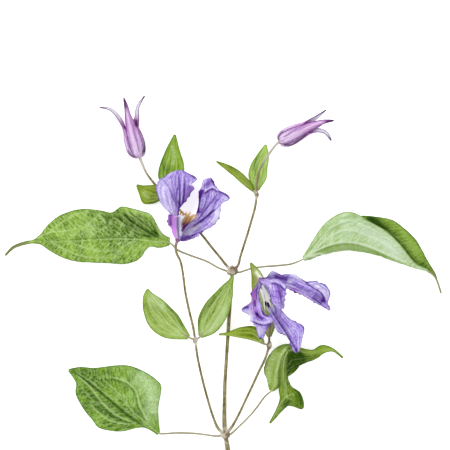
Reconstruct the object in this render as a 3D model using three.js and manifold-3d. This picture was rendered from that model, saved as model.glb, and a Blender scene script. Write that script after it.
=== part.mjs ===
// A cut clematis sprig laid on a surface: one branched stem, twelve leaves, two open nodding
// flowers of four tepals each, and two buds. Millimetres, +Z up, the surface is z = 0.
// The origin lies under the middle of the whole sprig.

import * as THREE from 'three';
import { mergeVertices } from 'three/addons/utils/BufferGeometryUtils.js';
import Module from 'manifold-3d';

const wasm = await Module();
wasm.setup();

// Driving dimensions
const LEAF_THICKNESS = 0.7;
const TEPAL_THICKNESS = 0.65;
const MIDRIB_DEPTH = 0.45; // how far a leaf's midrib stands out below the blade
const SEAT_GAP = 0.3; // clear space where two pieces meet
const STEM_RADIUS = 1.05;
const BRANCH_RADIUS = 0.78;
const FLOWER_STALK_RADIUS = 0.75;
const LEAF_STALK_RADIUS = 0.62;
const RECEPTACLE_RADIUS = 1.9; // the swollen stalk end that carries a flower
const FILAMENT_RADIUS = 0.32;
const ANTHER_RADIUS = 0.5;
const SLIVER = 0.02; // shorter edges than this are merged away

// Colours
const GREEN = 0x7fa54a;
const PALE_GREEN = 0x9dbf63;
const VIOLET = 0x8f6fd6;
const LILAC = 0xb58ad0;
const STEM_BROWN = 0x7d6f52;
const STAMEN_GOLD = 0xc9a267;
const STAMEN_CREAM = 0xe8dcb8;

const { clamp, degToRad, smoothstep } = THREE.MathUtils;
const vector = (point) => new THREE.Vector3(...point);

// Seeded random numbers from 0 to 1, the same in every run.
function randomFrom(seed) {
  let state = seed;
  return () => {
    state = (Math.imul(state, 1664525) + 1013904223) >>> 0;
    return state / 4294967296;
  };
}

// The value at u (0 to 1) of a smooth curve through evenly spaced numbers or points.
function along(list, u) {
  if (!Array.isArray(list)) return list;
  const last = list.length - 1;
  const place = clamp(u, 0, 1) * last;
  const i = Math.min(Math.floor(place), last - 1);
  const f = place - i;
  const at = (k) => list[clamp(k, 0, last)];
  const blend = (a, b, c, d) => {
    const bend = (2 * a - 5 * b + 4 * c - d) * f * f + (3 * b - a - 3 * c + d) * f * f * f;
    return b + 0.5 * ((c - a) * f + bend);
  };
  if (!Array.isArray(list[0])) return blend(at(i - 1), at(i), at(i + 1), at(i + 2));
  return list[0].map((_, axis) => blend(...[i - 1, i, i + 1, i + 2].map((k) => at(k)[axis])));
}

// A closed mesh of points and triangles as a solid.
function solidFrom(points, triangles) {
  const geometry = new THREE.BufferGeometry();
  geometry.setAttribute('position', new THREE.Float32BufferAttribute(points.flatMap((p) => p.toArray()), 3));
  geometry.setIndex(triangles);
  return solidOf(geometry);
}

function solidOf(geometry) {
  const bare = geometry.clone();
  bare.deleteAttribute('normal');
  bare.deleteAttribute('uv');
  const merged = mergeVertices(bare, 1e-5);
  return new wasm.Manifold(new wasm.Mesh({
    numProp: 3,
    vertProperties: merged.attributes.position.array,
    triVerts: new Uint32Array(merged.index.array),
  }));
}

// A tapered round tube through points, with flat ends; radii are spread evenly along it.
function tube(points, radii, sides, steps, grow = 0) {
  const centres = [];
  for (let i = 0; i <= steps; i += 1) centres.push(vector(along(points, i / steps)));
  const first = centres[1].clone().sub(centres[0]).normalize();
  const last = centres[steps].clone().sub(centres[steps - 1]).normalize();
  centres[0].addScaledVector(first, -grow);
  centres[steps].addScaledVector(last, grow);
  const vertices = [];
  let across = Math.abs(first.z) < 0.9 ? new THREE.Vector3(0, 0, 1) : new THREE.Vector3(1, 0, 0);
  for (let i = 0; i <= steps; i += 1) {
    const before = centres[Math.max(i - 1, 0)];
    const after = centres[Math.min(i + 1, steps)];
    const forward = after.clone().sub(before).normalize();
    across = across.clone().addScaledVector(forward, -across.dot(forward)).normalize();
    const other = forward.clone().cross(across);
    const radius = along(radii, i / steps) + grow;
    for (let k = 0; k < sides; k += 1) {
      const turn = (2 * Math.PI * k) / sides;
      const vertex = centres[i].clone().addScaledVector(across, radius * Math.cos(turn));
      vertices.push(vertex.addScaledVector(other, radius * Math.sin(turn)));
    }
  }
  const triangles = [];
  for (let i = 0; i < steps; i += 1) {
    for (let k = 0; k < sides; k += 1) {
      const a = i * sides + k;
      const b = i * sides + ((k + 1) % sides);
      triangles.push(a, b, b + sides, a, b + sides, a + sides);
    }
  }
  for (let k = 1; k < sides - 1; k += 1) {
    triangles.push(0, k + 1, k);
    triangles.push(steps * sides, steps * sides + k, steps * sides + k + 1);
  }
  return solidFrom(vertices, triangles);
}

// An egg shape at a centre, with its long way along a direction.
function egg(centre, direction, halfLength, radius, grow = 0) {
  const geometry = new THREE.SphereGeometry(1, 8, 5);
  geometry.scale(radius + grow, halfLength + grow, radius + grow);
  const upright = new THREE.Vector3(0, 1, 0);
  const turn = new THREE.Quaternion().setFromUnitVectors(upright, vector(direction).normalize());
  geometry.applyQuaternion(turn);
  geometry.translate(...centre);
  return solidOf(geometry);
}

const join = (solids) => solids.reduce((whole, solid) => whole.add(solid));

// The middle surface of a leaf or tepal, as rows of points across it from its left to its right
// margin. The spine runs from base to tip, and up is the way its upper face looks. Each side has
// its half width, lift (degrees above level at the spine), curl (degrees more by the margin, all
// of it between the two places of bend, parts of the width, where given), roll (degrees at the very margin),
// sweep (how far the margin runs ahead of the spine), ruffle (height, count and phase of the waves
// along the margin), folds (each from one place to another, given as parts of the length and of
// the width, with its height and spread) and places (where the columns lie, as parts of the width).
function bladeGrid(blade, rows, columns, grow = 0) {
  const grid = [];
  for (let i = 0; i <= rows; i += 1) {
    const u = i / rows;
    const centre = vector(along(blade.spine, u));
    const step = 0.5 / rows;
    const ahead = vector(along(blade.spine, u + step));
    const forward = ahead.sub(vector(along(blade.spine, u - step))).normalize();
    const up = vector(along(blade.up, u));
    up.addScaledVector(forward, -up.dot(forward)).normalize();
    const right = forward.clone().cross(up);
    if (i === 0) centre.addScaledVector(forward, -grow);
    if (i === rows) centre.addScaledVector(forward, grow);
    const half = (side, sign) => bladeHalf(side, sign, u, centre, { forward, up, right }, columns, grow);
    grid.push([...half(blade.left, -1).reverse(), centre, ...half(blade.right, 1)]);
  }
  return grid;
}

function bladeHalf(side, sign, u, centre, frame, columns, grow) {
  const width = Math.max(along(side.width, u), 0.35) + grow;
  const lift = along(side.lift ?? 0, u);
  const curl = along(side.curl ?? 0, u);
  const roll = along(side.roll ?? 0, u);
  const sweep = along(side.sweep ?? 0, u);
  const [ruffleHeight, ruffleCount, rufflePhase] = side.ruffle ?? [0, 1, 0];
  const wave = Math.sin(2 * Math.PI * (ruffleCount * u + rufflePhase));
  const ruffle = ruffleHeight * Math.sin(Math.PI * u) * wave;
  const bend = side.bend?.map((place) => along(place, u));
  const bent = (t) => (bend ? smoothstep(t, ...bend) : t);
  const angleAt = (t) => degToRad(lift + curl * bent(t) + roll * t ** 4);
  const foldAt = (t) => (side.folds ?? []).reduce((sum, [fromU, fromT, toU, toT, height, spread]) => {
    const part = clamp((u - fromU) / (toU - fromU), 0, 1);
    const away = (t - fromT - (toT - fromT) * part) / spread;
    return sum + height * Math.sin(Math.PI * part) * Math.exp(-away * away);
  }, 0);
  const points = [];
  const fine = 6;
  let out = 0;
  let rise = 0;
  let before = 0;
  for (let k = 1; k <= columns; k += 1) {
    const t = along(side.places ?? [0, 1], k / columns);
    for (let s = 0; s < fine; s += 1) {
      const angle = angleAt(before + ((t - before) * (s + 0.5)) / fine);
      out += ((width * (t - before)) / fine) * Math.cos(angle);
      rise += ((width * (t - before)) / fine) * Math.sin(angle);
    }
    before = t;
    const shift = ruffle * t * t + foldAt(t);
    const angle = angleAt(t);
    const point = centre.clone();
    point.addScaledVector(frame.right, sign * (out - shift * Math.sin(angle)));
    point.addScaledVector(frame.up, rise + shift * Math.cos(angle));
    point.addScaledVector(frame.forward, sweep * t * t);
    points.push(point);
  }
  return points;
}

// A thin closed plate round a grid of points, split into triangles alike on both faces.
function plate(grid, thickness, ribDepth = 0) {
  const rows = grid.length;
  const columns = grid[0].length;
  const middle = (columns - 1) / 2;
  const point = (i, j) => grid[clamp(i, 0, rows - 1)][clamp(j, 0, columns - 1)];
  const upper = [];
  const lower = [];
  for (let i = 0; i < rows; i += 1) {
    for (let j = 0; j < columns; j += 1) {
      const sideways = point(i, j + 1).clone().sub(point(i, j - 1));
      const lengthways = point(i + 1, j).clone().sub(point(i - 1, j));
      const normal = sideways.cross(lengthways).normalize();
      const rib = j === middle ? ribDepth * (1 - i / (rows - 1)) : 0;
      upper.push(point(i, j).clone().addScaledVector(normal, thickness / 2));
      lower.push(point(i, j).clone().addScaledVector(normal, -thickness / 2 - rib));
    }
  }
  const total = rows * columns;
  const top = (i, j) => i * columns + j;
  const under = (i, j) => total + i * columns + j;
  const triangles = [];
  const quad = (a, b, c, d) => triangles.push(a, b, c, a, c, d);
  for (let i = 0; i < rows - 1; i += 1) {
    for (let j = 0; j < columns - 1; j += 1) {
      if (j < middle) {
        quad(top(i, j + 1), top(i + 1, j + 1), top(i + 1, j), top(i, j));
        quad(under(i, j + 1), under(i, j), under(i + 1, j), under(i + 1, j + 1));
      } else {
        quad(top(i, j), top(i, j + 1), top(i + 1, j + 1), top(i + 1, j));
        quad(under(i, j), under(i + 1, j), under(i + 1, j + 1), under(i, j + 1));
      }
    }
    const edge = columns - 1;
    quad(top(i, edge), under(i, edge), under(i + 1, edge), top(i + 1, edge));
    quad(top(i, 0), top(i + 1, 0), under(i + 1, 0), under(i, 0));
  }
  for (let j = 0; j < columns - 1; j += 1) {
    const end = rows - 1;
    quad(top(0, j), under(0, j), under(0, j + 1), top(0, j + 1));
    quad(top(end, j), top(end, j + 1), under(end, j + 1), under(end, j));
  }
  return solidFrom([...upper, ...lower], triangles);
}

// A leaf: its blade, any side lobe, and its stalk, whose pointed end is sunk in the blade's base.
function leaf(shape, grow = 0) {
  const blades = [shape, ...(shape.lobes ?? [])].map((blade) => {
    const [rows, columns] = blade.cells ?? [8, 3];
    return plate(bladeGrid(blade, rows, columns, grow), LEAF_THICKNESS + 2 * grow, MIDRIB_DEPTH);
  });
  const bladeStart = shape.spine[0];
  const inBlade = along(shape.spine, 0.6 / (shape.spine.length - 1));
  const radii = [LEAF_STALK_RADIUS, LEAF_STALK_RADIUS * 0.9, LEAF_STALK_RADIUS, 0.5];
  const points = [...shape.stalk, bladeStart, inBlade];
  return join([...blades, tube(points, radii, 5, Math.round((points.length - 1) * 1.5), grow)]);
}

function tepal(shape, grow = 0) {
  const [rows, columns] = shape.cells ?? [12, 4];
  return plate(bladeGrid(shape, rows, columns, grow), TEPAL_THICKNESS + 2 * grow);
}

// Places of the joints and flower bases, which branches, leaves and tepals share
const NODE_A = [1.4, -96.4, 2.9];
const NODE_B = [5.6, 2.2, 12];
const NODE_LEFT = [-16.5, -38.8, 11];
const NODE_RIGHT = [27.7, -42, 9];
const NODE_C = [-34.5, 47.6, 3.6];
const NODE_D = [20.1, 48, 9.8];
const FLOWER_LEFT = [-26.8, 21.4, 16.8];
const FLOWER_LEFT_AXIS = [0.12, 0.96, 0.25];
const FLOWER_RIGHT = [22.3, -2.8, 17.8];
const FLOWER_RIGHT_AXIS = [0.3, -0.85, 0.4];
const BUD_LEFT = [-50.3, 71.4, 7.6];
const BUD_RIGHT = [34.2, 80.4, 9];

// Stem: each run is a smooth tube, and each joint is a swelling
const STEM_RUNS = [
  {
    points: [[3.2, -108, 1.75], [2.2, -101, 2.3], NODE_A, [0.8, -88, 3.4], [0.9, -77, 4.2],
      [1.1, -66, 5.1], [1.8, -54, 6.2], [2.5, -43, 7.3], [3.2, -32, 8.4], [4, -20, 9.8],
      [4.9, -8, 11.1], NODE_B],
    radii: [STEM_RADIUS * 1.4, STEM_RADIUS * 1.25, STEM_RADIUS, STEM_RADIUS, STEM_RADIUS],
    sides: 8,
  },
  {
    points: [NODE_A, [-3.2, -92, 3.6], [-6.4, -84, 4.7], [-8.8, -76, 5.8], [-11.2, -67, 7.1],
      [-13.5, -57.5, 8.5], [-15.4, -48, 9.9], NODE_LEFT],
    radii: [BRANCH_RADIUS * 1.3, BRANCH_RADIUS, BRANCH_RADIUS, BRANCH_RADIUS, BRANCH_RADIUS * 0.95],
    sides: 6,
  },
  {
    points: [NODE_LEFT, [-18, -30, 12], [-20.4, -20, 13], [-22.4, -10, 13.6], [-23.7, 0, 14],
      [-25.2, 8, 14.3], [-27.6, 13.2, 14.7], [-28, 17.6, 15.6], FLOWER_LEFT],
    radii: [FLOWER_STALK_RADIUS, FLOWER_STALK_RADIUS, FLOWER_STALK_RADIUS, FLOWER_STALK_RADIUS * 1.2],
    sides: 6,
  },
  {
    points: [NODE_A, [5.4, -91.2, 3.6], [9.4, -84, 4.3], [13.6, -75, 5.2], [17.6, -66.5, 6.2],
      [21.4, -58, 7.2], [25.2, -50, 8.2], NODE_RIGHT],
    radii: [BRANCH_RADIUS * 1.3, BRANCH_RADIUS, BRANCH_RADIUS, BRANCH_RADIUS, BRANCH_RADIUS * 0.95],
    sides: 6,
  },
  {
    points: [NODE_RIGHT, [27.6, -36, 9.6], [28.2, -30, 10.2], [28, -21, 11], [26.2, -12, 12],
      [24, -5.6, 13.6], [22.8, -3.2, 15.4], FLOWER_RIGHT],
    radii: [FLOWER_STALK_RADIUS, FLOWER_STALK_RADIUS, FLOWER_STALK_RADIUS, FLOWER_STALK_RADIUS * 1.2],
    sides: 6,
  },
  {
    points: [NODE_B, [1.6, 6.4, 12.2], [-2, 11, 11.3], [-7, 17, 9.8], [-13.2, 24.8, 7.6],
      [-21, 33.6, 5.4], [-28.6, 41.6, 4.2], NODE_C],
    radii: [BRANCH_RADIUS * 1.3, BRANCH_RADIUS, BRANCH_RADIUS, BRANCH_RADIUS * 0.9, BRANCH_RADIUS * 0.9],
    sides: 6,
  },
  {
    points: [NODE_C, [-38.2, 51.2, 3.8], [-42, 55.7, 4.3], [-45.6, 60.6, 5.2], [-48.2, 66, 6.4], BUD_LEFT],
    radii: [FLOWER_STALK_RADIUS, FLOWER_STALK_RADIUS, FLOWER_STALK_RADIUS * 0.95, FLOWER_STALK_RADIUS * 1.3],
    sides: 6,
  },
  {
    points: [NODE_B, [9, 6, 12.3], [10.2, 10.6, 12], [12.4, 17.6, 11.6], [14.8, 25.2, 11.2],
      [17.1, 33, 10.7], [19.2, 40.8, 10.2], NODE_D],
    radii: [BRANCH_RADIUS * 1.3, BRANCH_RADIUS, BRANCH_RADIUS, BRANCH_RADIUS, BRANCH_RADIUS],
    sides: 6,
  },
  {
    points: [NODE_D, [20, 54, 10.6], [21.2, 61, 11], [24.2, 67.2, 10.6], [28, 73.2, 9.8],
      [31.6, 77.8, 9.2], BUD_RIGHT],
    radii: [FLOWER_STALK_RADIUS * 1.1, FLOWER_STALK_RADIUS, FLOWER_STALK_RADIUS, FLOWER_STALK_RADIUS * 1.3],
    sides: 6,
  },
];

// Swellings: centre, direction, half length and radius
const STEM_SWELLINGS = [
  [NODE_A, [1, 0, 0], 3, 2.3],
  [NODE_B, [1, 0.1, 0], 3.6, 2.4],
  [[5.6, 4.2, 12.4], [0, 1, 0.1], 1.9, 1.6], // the stopped tip between the two upper branches
  [NODE_LEFT, [0.1, 1, 0.2], 2.3, 1.5],
  [NODE_RIGHT, [0.1, 1, 0.2], 2.6, 1.6],
  [NODE_C, [-1, 1, 0], 2.2, 1.4],
  [NODE_D, [0, 1, 0.1], 2.3, 1.45],
  [FLOWER_LEFT, FLOWER_LEFT_AXIS, RECEPTACLE_RADIUS, RECEPTACLE_RADIUS * 0.9],
  [FLOWER_RIGHT, FLOWER_RIGHT_AXIS, RECEPTACLE_RADIUS, RECEPTACLE_RADIUS * 0.9],
];

function stem(grow = 0) {
  const runs = STEM_RUNS.map((run) =>
    tube(run.points, run.radii, run.sides, run.points.length - 1, grow));
  const swellings = STEM_SWELLINGS.map(([centre, direction, halfLength, radius]) =>
    egg(centre, direction, halfLength, radius, grow));
  return join([...runs, ...swellings]);
}

// Leaves
const LEAVES = {
  leaf_left: {
    cells: [20, 4],
    stalk: [NODE_B, [1.6, 2.8, 11.8], [-3.4, 4.8, 11.6], [-10, 8.4, 11.1], [-20, 12, 10.3], [-27, 15, 9.6]],
    spine: [[-31.8, 19.2, 9], [-44, 20.6, 8], [-55, 21.5, 6.4], [-66, 21.6, 4.6], [-77, 21, 2.8],
      [-88, 20.3, 1.3], [-99, 20, 0.45], [-110, 19.8, 0.5], [-118, 19.3, 1.2], [-126, 16.6, 2],
      [-131.2, 11.6, 2.4]],
    up: [[0, 0, 1]],
    left: {
      width: [1.5, 3.6, 3.8, 11.7, 14.4, 15.3, 14.7, 14, 13.6, 13.1, 12.4, 10.9, 8.7, 5.3, 1.8, 0.8,
        0.8, 0.8, 0.7, 0.6, 0.5],
      lift: [40, 20, 6, 4, 6, 8, 8, 6, 0, 0, 0],
      curl: [-30, -40, -24, -18, -14, -10, -6, 0, 0, 0, 0],
      ruffle: [1.2, 3, 0.2],
    },
    right: {
      width: [3.2, 5.6, 15.3, 17.3, 18.6, 19.3, 15.9, 17.3, 18.5, 19.1, 18.7, 17.3, 15.1, 10.9, 4.6,
        1.4, 1.1, 1, 0.9, 0.7, 0.5],
      lift: [20, 16, 12, 8, 8, 8, 6, 4, 0, 0, 0],
      curl: [-20, -18, -12, -14, -16, -14, -8, 0, 0, 0, 0],
      folds: [[0, 0.3, 0.42, 0.8, -3, 0.2], [0.05, 0.9, 0.35, 1.1, 1.4, 0.25]],
      ruffle: [1.2, 3, 0.6],
    },
  },
  leaf_right: {
    cells: [16, 5],
    stalk: [NODE_B, [9.6, 1.8, 12], [13, 2.8, 11.5], [18, 4.3, 10.9], [25, 5.2, 10.6], [33, 5.8, 10.5],
      [41, 6.8, 10.3]],
    spine: [[48, 9.6, 10], [57, 15, 10.2], [66, 18.8, 10], [74.4, 19.8, 9.6], [83, 18.2, 8.8],
      [92, 15, 7.8], [101, 11, 6.8], [109, 7.6, 5.4], [116, 5, 4], [122.6, 2.6, 2.8], [127.8, -1.6, 2],
      [131.4, -11.2, 1.2]],
    up: [[0, -0.4, -0.9], [0, 0.2, -0.95], [0, 0.3, -0.95], [0, 0.35, -0.92]],
    left: {
      width: [1.5, 12, 24, 27.4, 29.4, 25.2, 20.4, 16, 11.4, 5.3, 1.4, 0.5],
      lift: 0,
      curl: [60, 120, 165, 172, 172, 172, 172, 172, 170, 170, 150, 60],
      bend: [[0.15, 0.11, 0.05, 0.03, 0.03], [0.36, 0.32, 0.22, 0.2, 0.2]],
      sweep: [0, 4, 10, 13, 13, 11, 9, 5, 2, 0, 0, 0],
      places: [0, 0.1, 0.2, 0.32, 0.64, 1],
    },
    right: {
      width: [1.5, 7.6, 14, 18, 14.6, 12.8, 9.4, 5, 1.4, 0.8, 0.6, 0.5],
      lift: 0,
      curl: [20, 20, 14, 10, 10, 10, 10, 10, 0, 0, 0, 0],
      ruffle: [0.8, 3, 0],
    },
  },
  leaf_low_left: {
    cells: [14, 4],
    stalk: [NODE_A, [-4, -97, 3.1], [-10, -96.2, 3.4], [-18, -95.3, 3.5], [-28, -95.1, 3.4]],
    spine: [[-38.6, -95.4, 3.2], [-46.2, -89.3, 2.7], [-52.4, -83.8, 2.1], [-58.8, -77.4, 1.5],
      [-65, -71.6, 1.1], [-71.4, -67, 1], [-79.8, -61.5, 1.6], [-86, -58.1, 2.4], [-93, -57.2, 3.6]],
    up: [[0, 0, 1]],
    left: {
      width: [1.2, 3.3, 14.6, 21.2, 21, 19.5, 15.2, 8.8, 0.7],
      lift: [24, 24, 24, 22, 20, 18, 18, 16, 10],
      curl: [0, -20, -26, -22, -18, -14, -10, 0, 0],
      ruffle: [1, 3, 0.1],
    },
    right: {
      width: [1.2, 12, 23, 23.8, 20.7, 16, 6.8, 3.2, 0.5],
      lift: [30, 30, 30, 28, 24, 20, 18, 14, 10],
      curl: [-10, -36, -46, -42, -30, -14, 0, 10, 10],
      ruffle: [1, 3, 0.55],
    },
  },
  leaf_low_right: {
    cells: [14, 4],
    stalk: [NODE_A, [4.6, -95.8, 3.1], [9, -91.8, 3.8], [15, -85.8, 4.8], [20, -79.8, 5.8], [25, -73, 6.6]],
    spine: [[29, -69.4, 7.2], [31.8, -64, 8.6], [32.8, -57.8, 10], [34.6, -51.6, 11.2],
      [38.6, -45.4, 11.6], [43.6, -44.4, 10.4], [49, -46.2, 8.6], [54.4, -46.8, 6.8], [60, -44.8, 5],
      [66.4, -45.2, 3.4], [72.2, -50, 2]],
    up: [[0, 0, 1], [0, 0, 1], [0, 0, 1], [0, 0, 1], [0.3, 0, 1], [0.3, -0.2, 0.9], [0.2, -0.4, 0.8],
      [0, -0.4, 0.9], [0, -0.2, 1], [0, 0, 1], [0, 0, 1]],
    left: {
      width: [1.6, 7, 10, 10, 6, 2.2, 2, 2.2, 2.8, 0.8, 0.5],
      lift: [10, -10, -16, -20, -24, -20, -20, -10, 0, 0, 0],
      curl: [-20, -30, -36, -40, -40, -30, 0, 0, 0, 0, 0],
    },
    right: {
      width: [1, 5, 11, 14.4, 17.4, 20, 11, 5.6, 2.6, 1, 0.5],
      lift: [-10, -24, -32, -34, -36, -28, -14, -6, 0, 0, 0],
      curl: [-10, -20, -20, -10, 0, 10, 10, 0, 0, 0, 0],
      ruffle: [0.8, 2, 0.3],
    },
    lobes: [{
      cells: [14, 2],
      spine: [[38.4, -45.6, 11.8], [36.6, -50, 11.6], [35.8, -56, 10.8], [36, -62, 9.6],
        [36.8, -68, 8], [36.4, -75, 6], [33.4, -82, 3.6], [28.2, -89.4, 1.6]],
      up: [[0.2, 0, 1], [0.4, 0, 0.9], [0.5, 0, 0.85], [0.5, 0, 0.85], [0.3, 0, 0.9], [0, -0.2, 0.95],
        [0, -0.2, 1], [0, 0, 1]],
      left: {
        width: [1, 1.8, 2.5, 2.8, 3.1, 3.2, 3.4, 3.8, 5.2, 10.6, 13.2, 4.8, 1.6, 1, 0.5],
        lift: [0, 0, 0, 0, -10, -14, -6, 0],
        sweep: [0, 0, 0, 0, 0, 0, 0, 0, 0, 0.6, 4.2, -2, 0, 0, 0],
      },
      right: {
        width: [1, 2, 2.4, 2.8, 3.4, 2.4, 1.8, 0.5],
        lift: [-10, -10, -10, -10, -10, 0, 0, 0],
      },
    }],
  },
  leaf_branch_left_outer: {
    stalk: [NODE_LEFT],
    spine: [[-20.4, -37, 11.2], [-30, -31, 10.8], [-36, -25, 10], [-41, -18, 9.2], [-44, -12, 8.8],
      [-45.3, -8.2, 8.6]],
    up: [[0, 0, 1]],
    left: { width: [1.4, 7.8, 9.7, 7.6, 4.2, 0.5], lift: 14, curl: [0, -14, -16, -10, 0, 0],
      ruffle: [0.7, 2, 0] },
    right: { width: [1.4, 7.2, 7.7, 6.1, 2.8, 0.5], lift: 20, curl: [0, -20, -20, -10, 0, 0],
      ruffle: [0.7, 2, 0.5] },
  },
  leaf_branch_left_inner: {
    stalk: [NODE_LEFT],
    spine: [[-13.6, -36.6, 11.8], [-9, -30, 12.6], [-4, -20, 13.8], [1, -10, 15.2], [4.4, -3, 16.4],
      [5.8, 0.8, 16.8]],
    up: [[0, 0, 1]],
    left: { width: [1.3, 6.8, 7.4, 4.2, 1.1, 0.5], lift: 12, curl: [0, -12, -14, -8, 0, 0],
      ruffle: [0.6, 2, 0.3] },
    right: { width: [1.3, 6.2, 7.7, 5.4, 2.1, 0.5], lift: 16, curl: [0, -18, -18, -10, 0, 0],
      ruffle: [0.6, 2, 0.8] },
  },
  leaf_branch_right_outer: {
    stalk: [NODE_RIGHT],
    spine: [[27.8, -37, 7.6], [27, -29, 7], [24.6, -20, 7.6], [22, -9, 9.6], [19.2, 0.4, 12.4],
      [16.4, 7.6, 13.6]],
    up: [[0, 0, 1]],
    left: { width: [1.2, 4.6, 5.6, 5, 2.4, 0.5], lift: 20, curl: -16, ruffle: [0.5, 2, 0.3] },
    right: { width: [1.2, 4.8, 5.8, 5.4, 4, 0.5], lift: 24, curl: -20, ruffle: [0.5, 2, 0.8] },
  },
  leaf_branch_right_inner: {
    stalk: [NODE_RIGHT],
    spine: [[24.4, -41, 9.8], [18, -38.4, 10.8], [10.4, -36.6, 11.4], [3, -35.6, 11.8], [-2.4, -35.4, 11.8]],
    up: [[0, 0.1, 1]],
    left: { width: [1.2, 3.2, 2.8, 1.2, 0.5], lift: -74, curl: -10 },
    right: { width: [1.2, 7.6, 5.8, 1.8, 0.5], lift: 8, curl: -20, ruffle: [0.4, 2, 0] },
  },
  leaf_bud_left_upper: {
    stalk: [NODE_C],
    spine: [[-33.8, 50.6, 3.2], [-32.5, 57.5, 2.4], [-31.2, 66, 1.6], [-30.4, 75, 1.2], [-29, 84.6, 1.2]],
    up: [[0, 0, 1]],
    left: { width: [1.4, 6.6, 6.7, 4, 0.5], lift: 16, curl: -10, ruffle: [0.5, 2, 0] },
    right: { width: [1.4, 8.2, 7.9, 4.5, 0.5], lift: 20, curl: -14, ruffle: [0.5, 2, 0.5] },
  },
  leaf_bud_left_side: {
    stalk: [NODE_C],
    spine: [[-37.4, 48, 3], [-41, 48.8, 2.4], [-45, 50.4, 1.8], [-49, 52.4, 1.4], [-52, 54.2, 1.8]],
    up: [[0, 0, 1]],
    left: { width: [3.4, 6.2, 7.8, 3.6, 0.6], lift: 4, curl: -8 },
    right: { width: [1.4, 6, 4.6, 2, 0.6], lift: 30, curl: 10 },
  },
  leaf_bud_right_side: {
    stalk: [NODE_D],
    spine: [[18.2, 50.2, 9.6], [14.4, 54.8, 8.4], [8.4, 60.2, 6], [2.4, 64.4, 3.4], [-4, 68.3, 1]],
    up: [[0, 0, 1]],
    left: { width: [1.2, 3.6, 3.4, 2.3, 0.5], lift: 58, curl: -10 },
    right: { width: [1.2, 3.4, 4, 2.8, 0.5], lift: 54, curl: -10 },
  },
  leaf_bud_right_upper: {
    stalk: [NODE_D],
    spine: [[20.2, 50.6, 7.6], [20.4, 58, 5.6], [21.4, 65.4, 4.6], [23.6, 72.4, 4.2], [25.8, 78.4, 4.4]],
    up: [[0, 0, 1]],
    left: { width: [1.3, 5.2, 4.8, 2.6, 0.5], lift: 18, curl: -8, ruffle: [0.4, 2, 0] },
    right: { width: [1.3, 5.8, 5.5, 4.2, 0.5], lift: 20, curl: -10, ruffle: [0.4, 2, 0.5] },
  },
};

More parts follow.
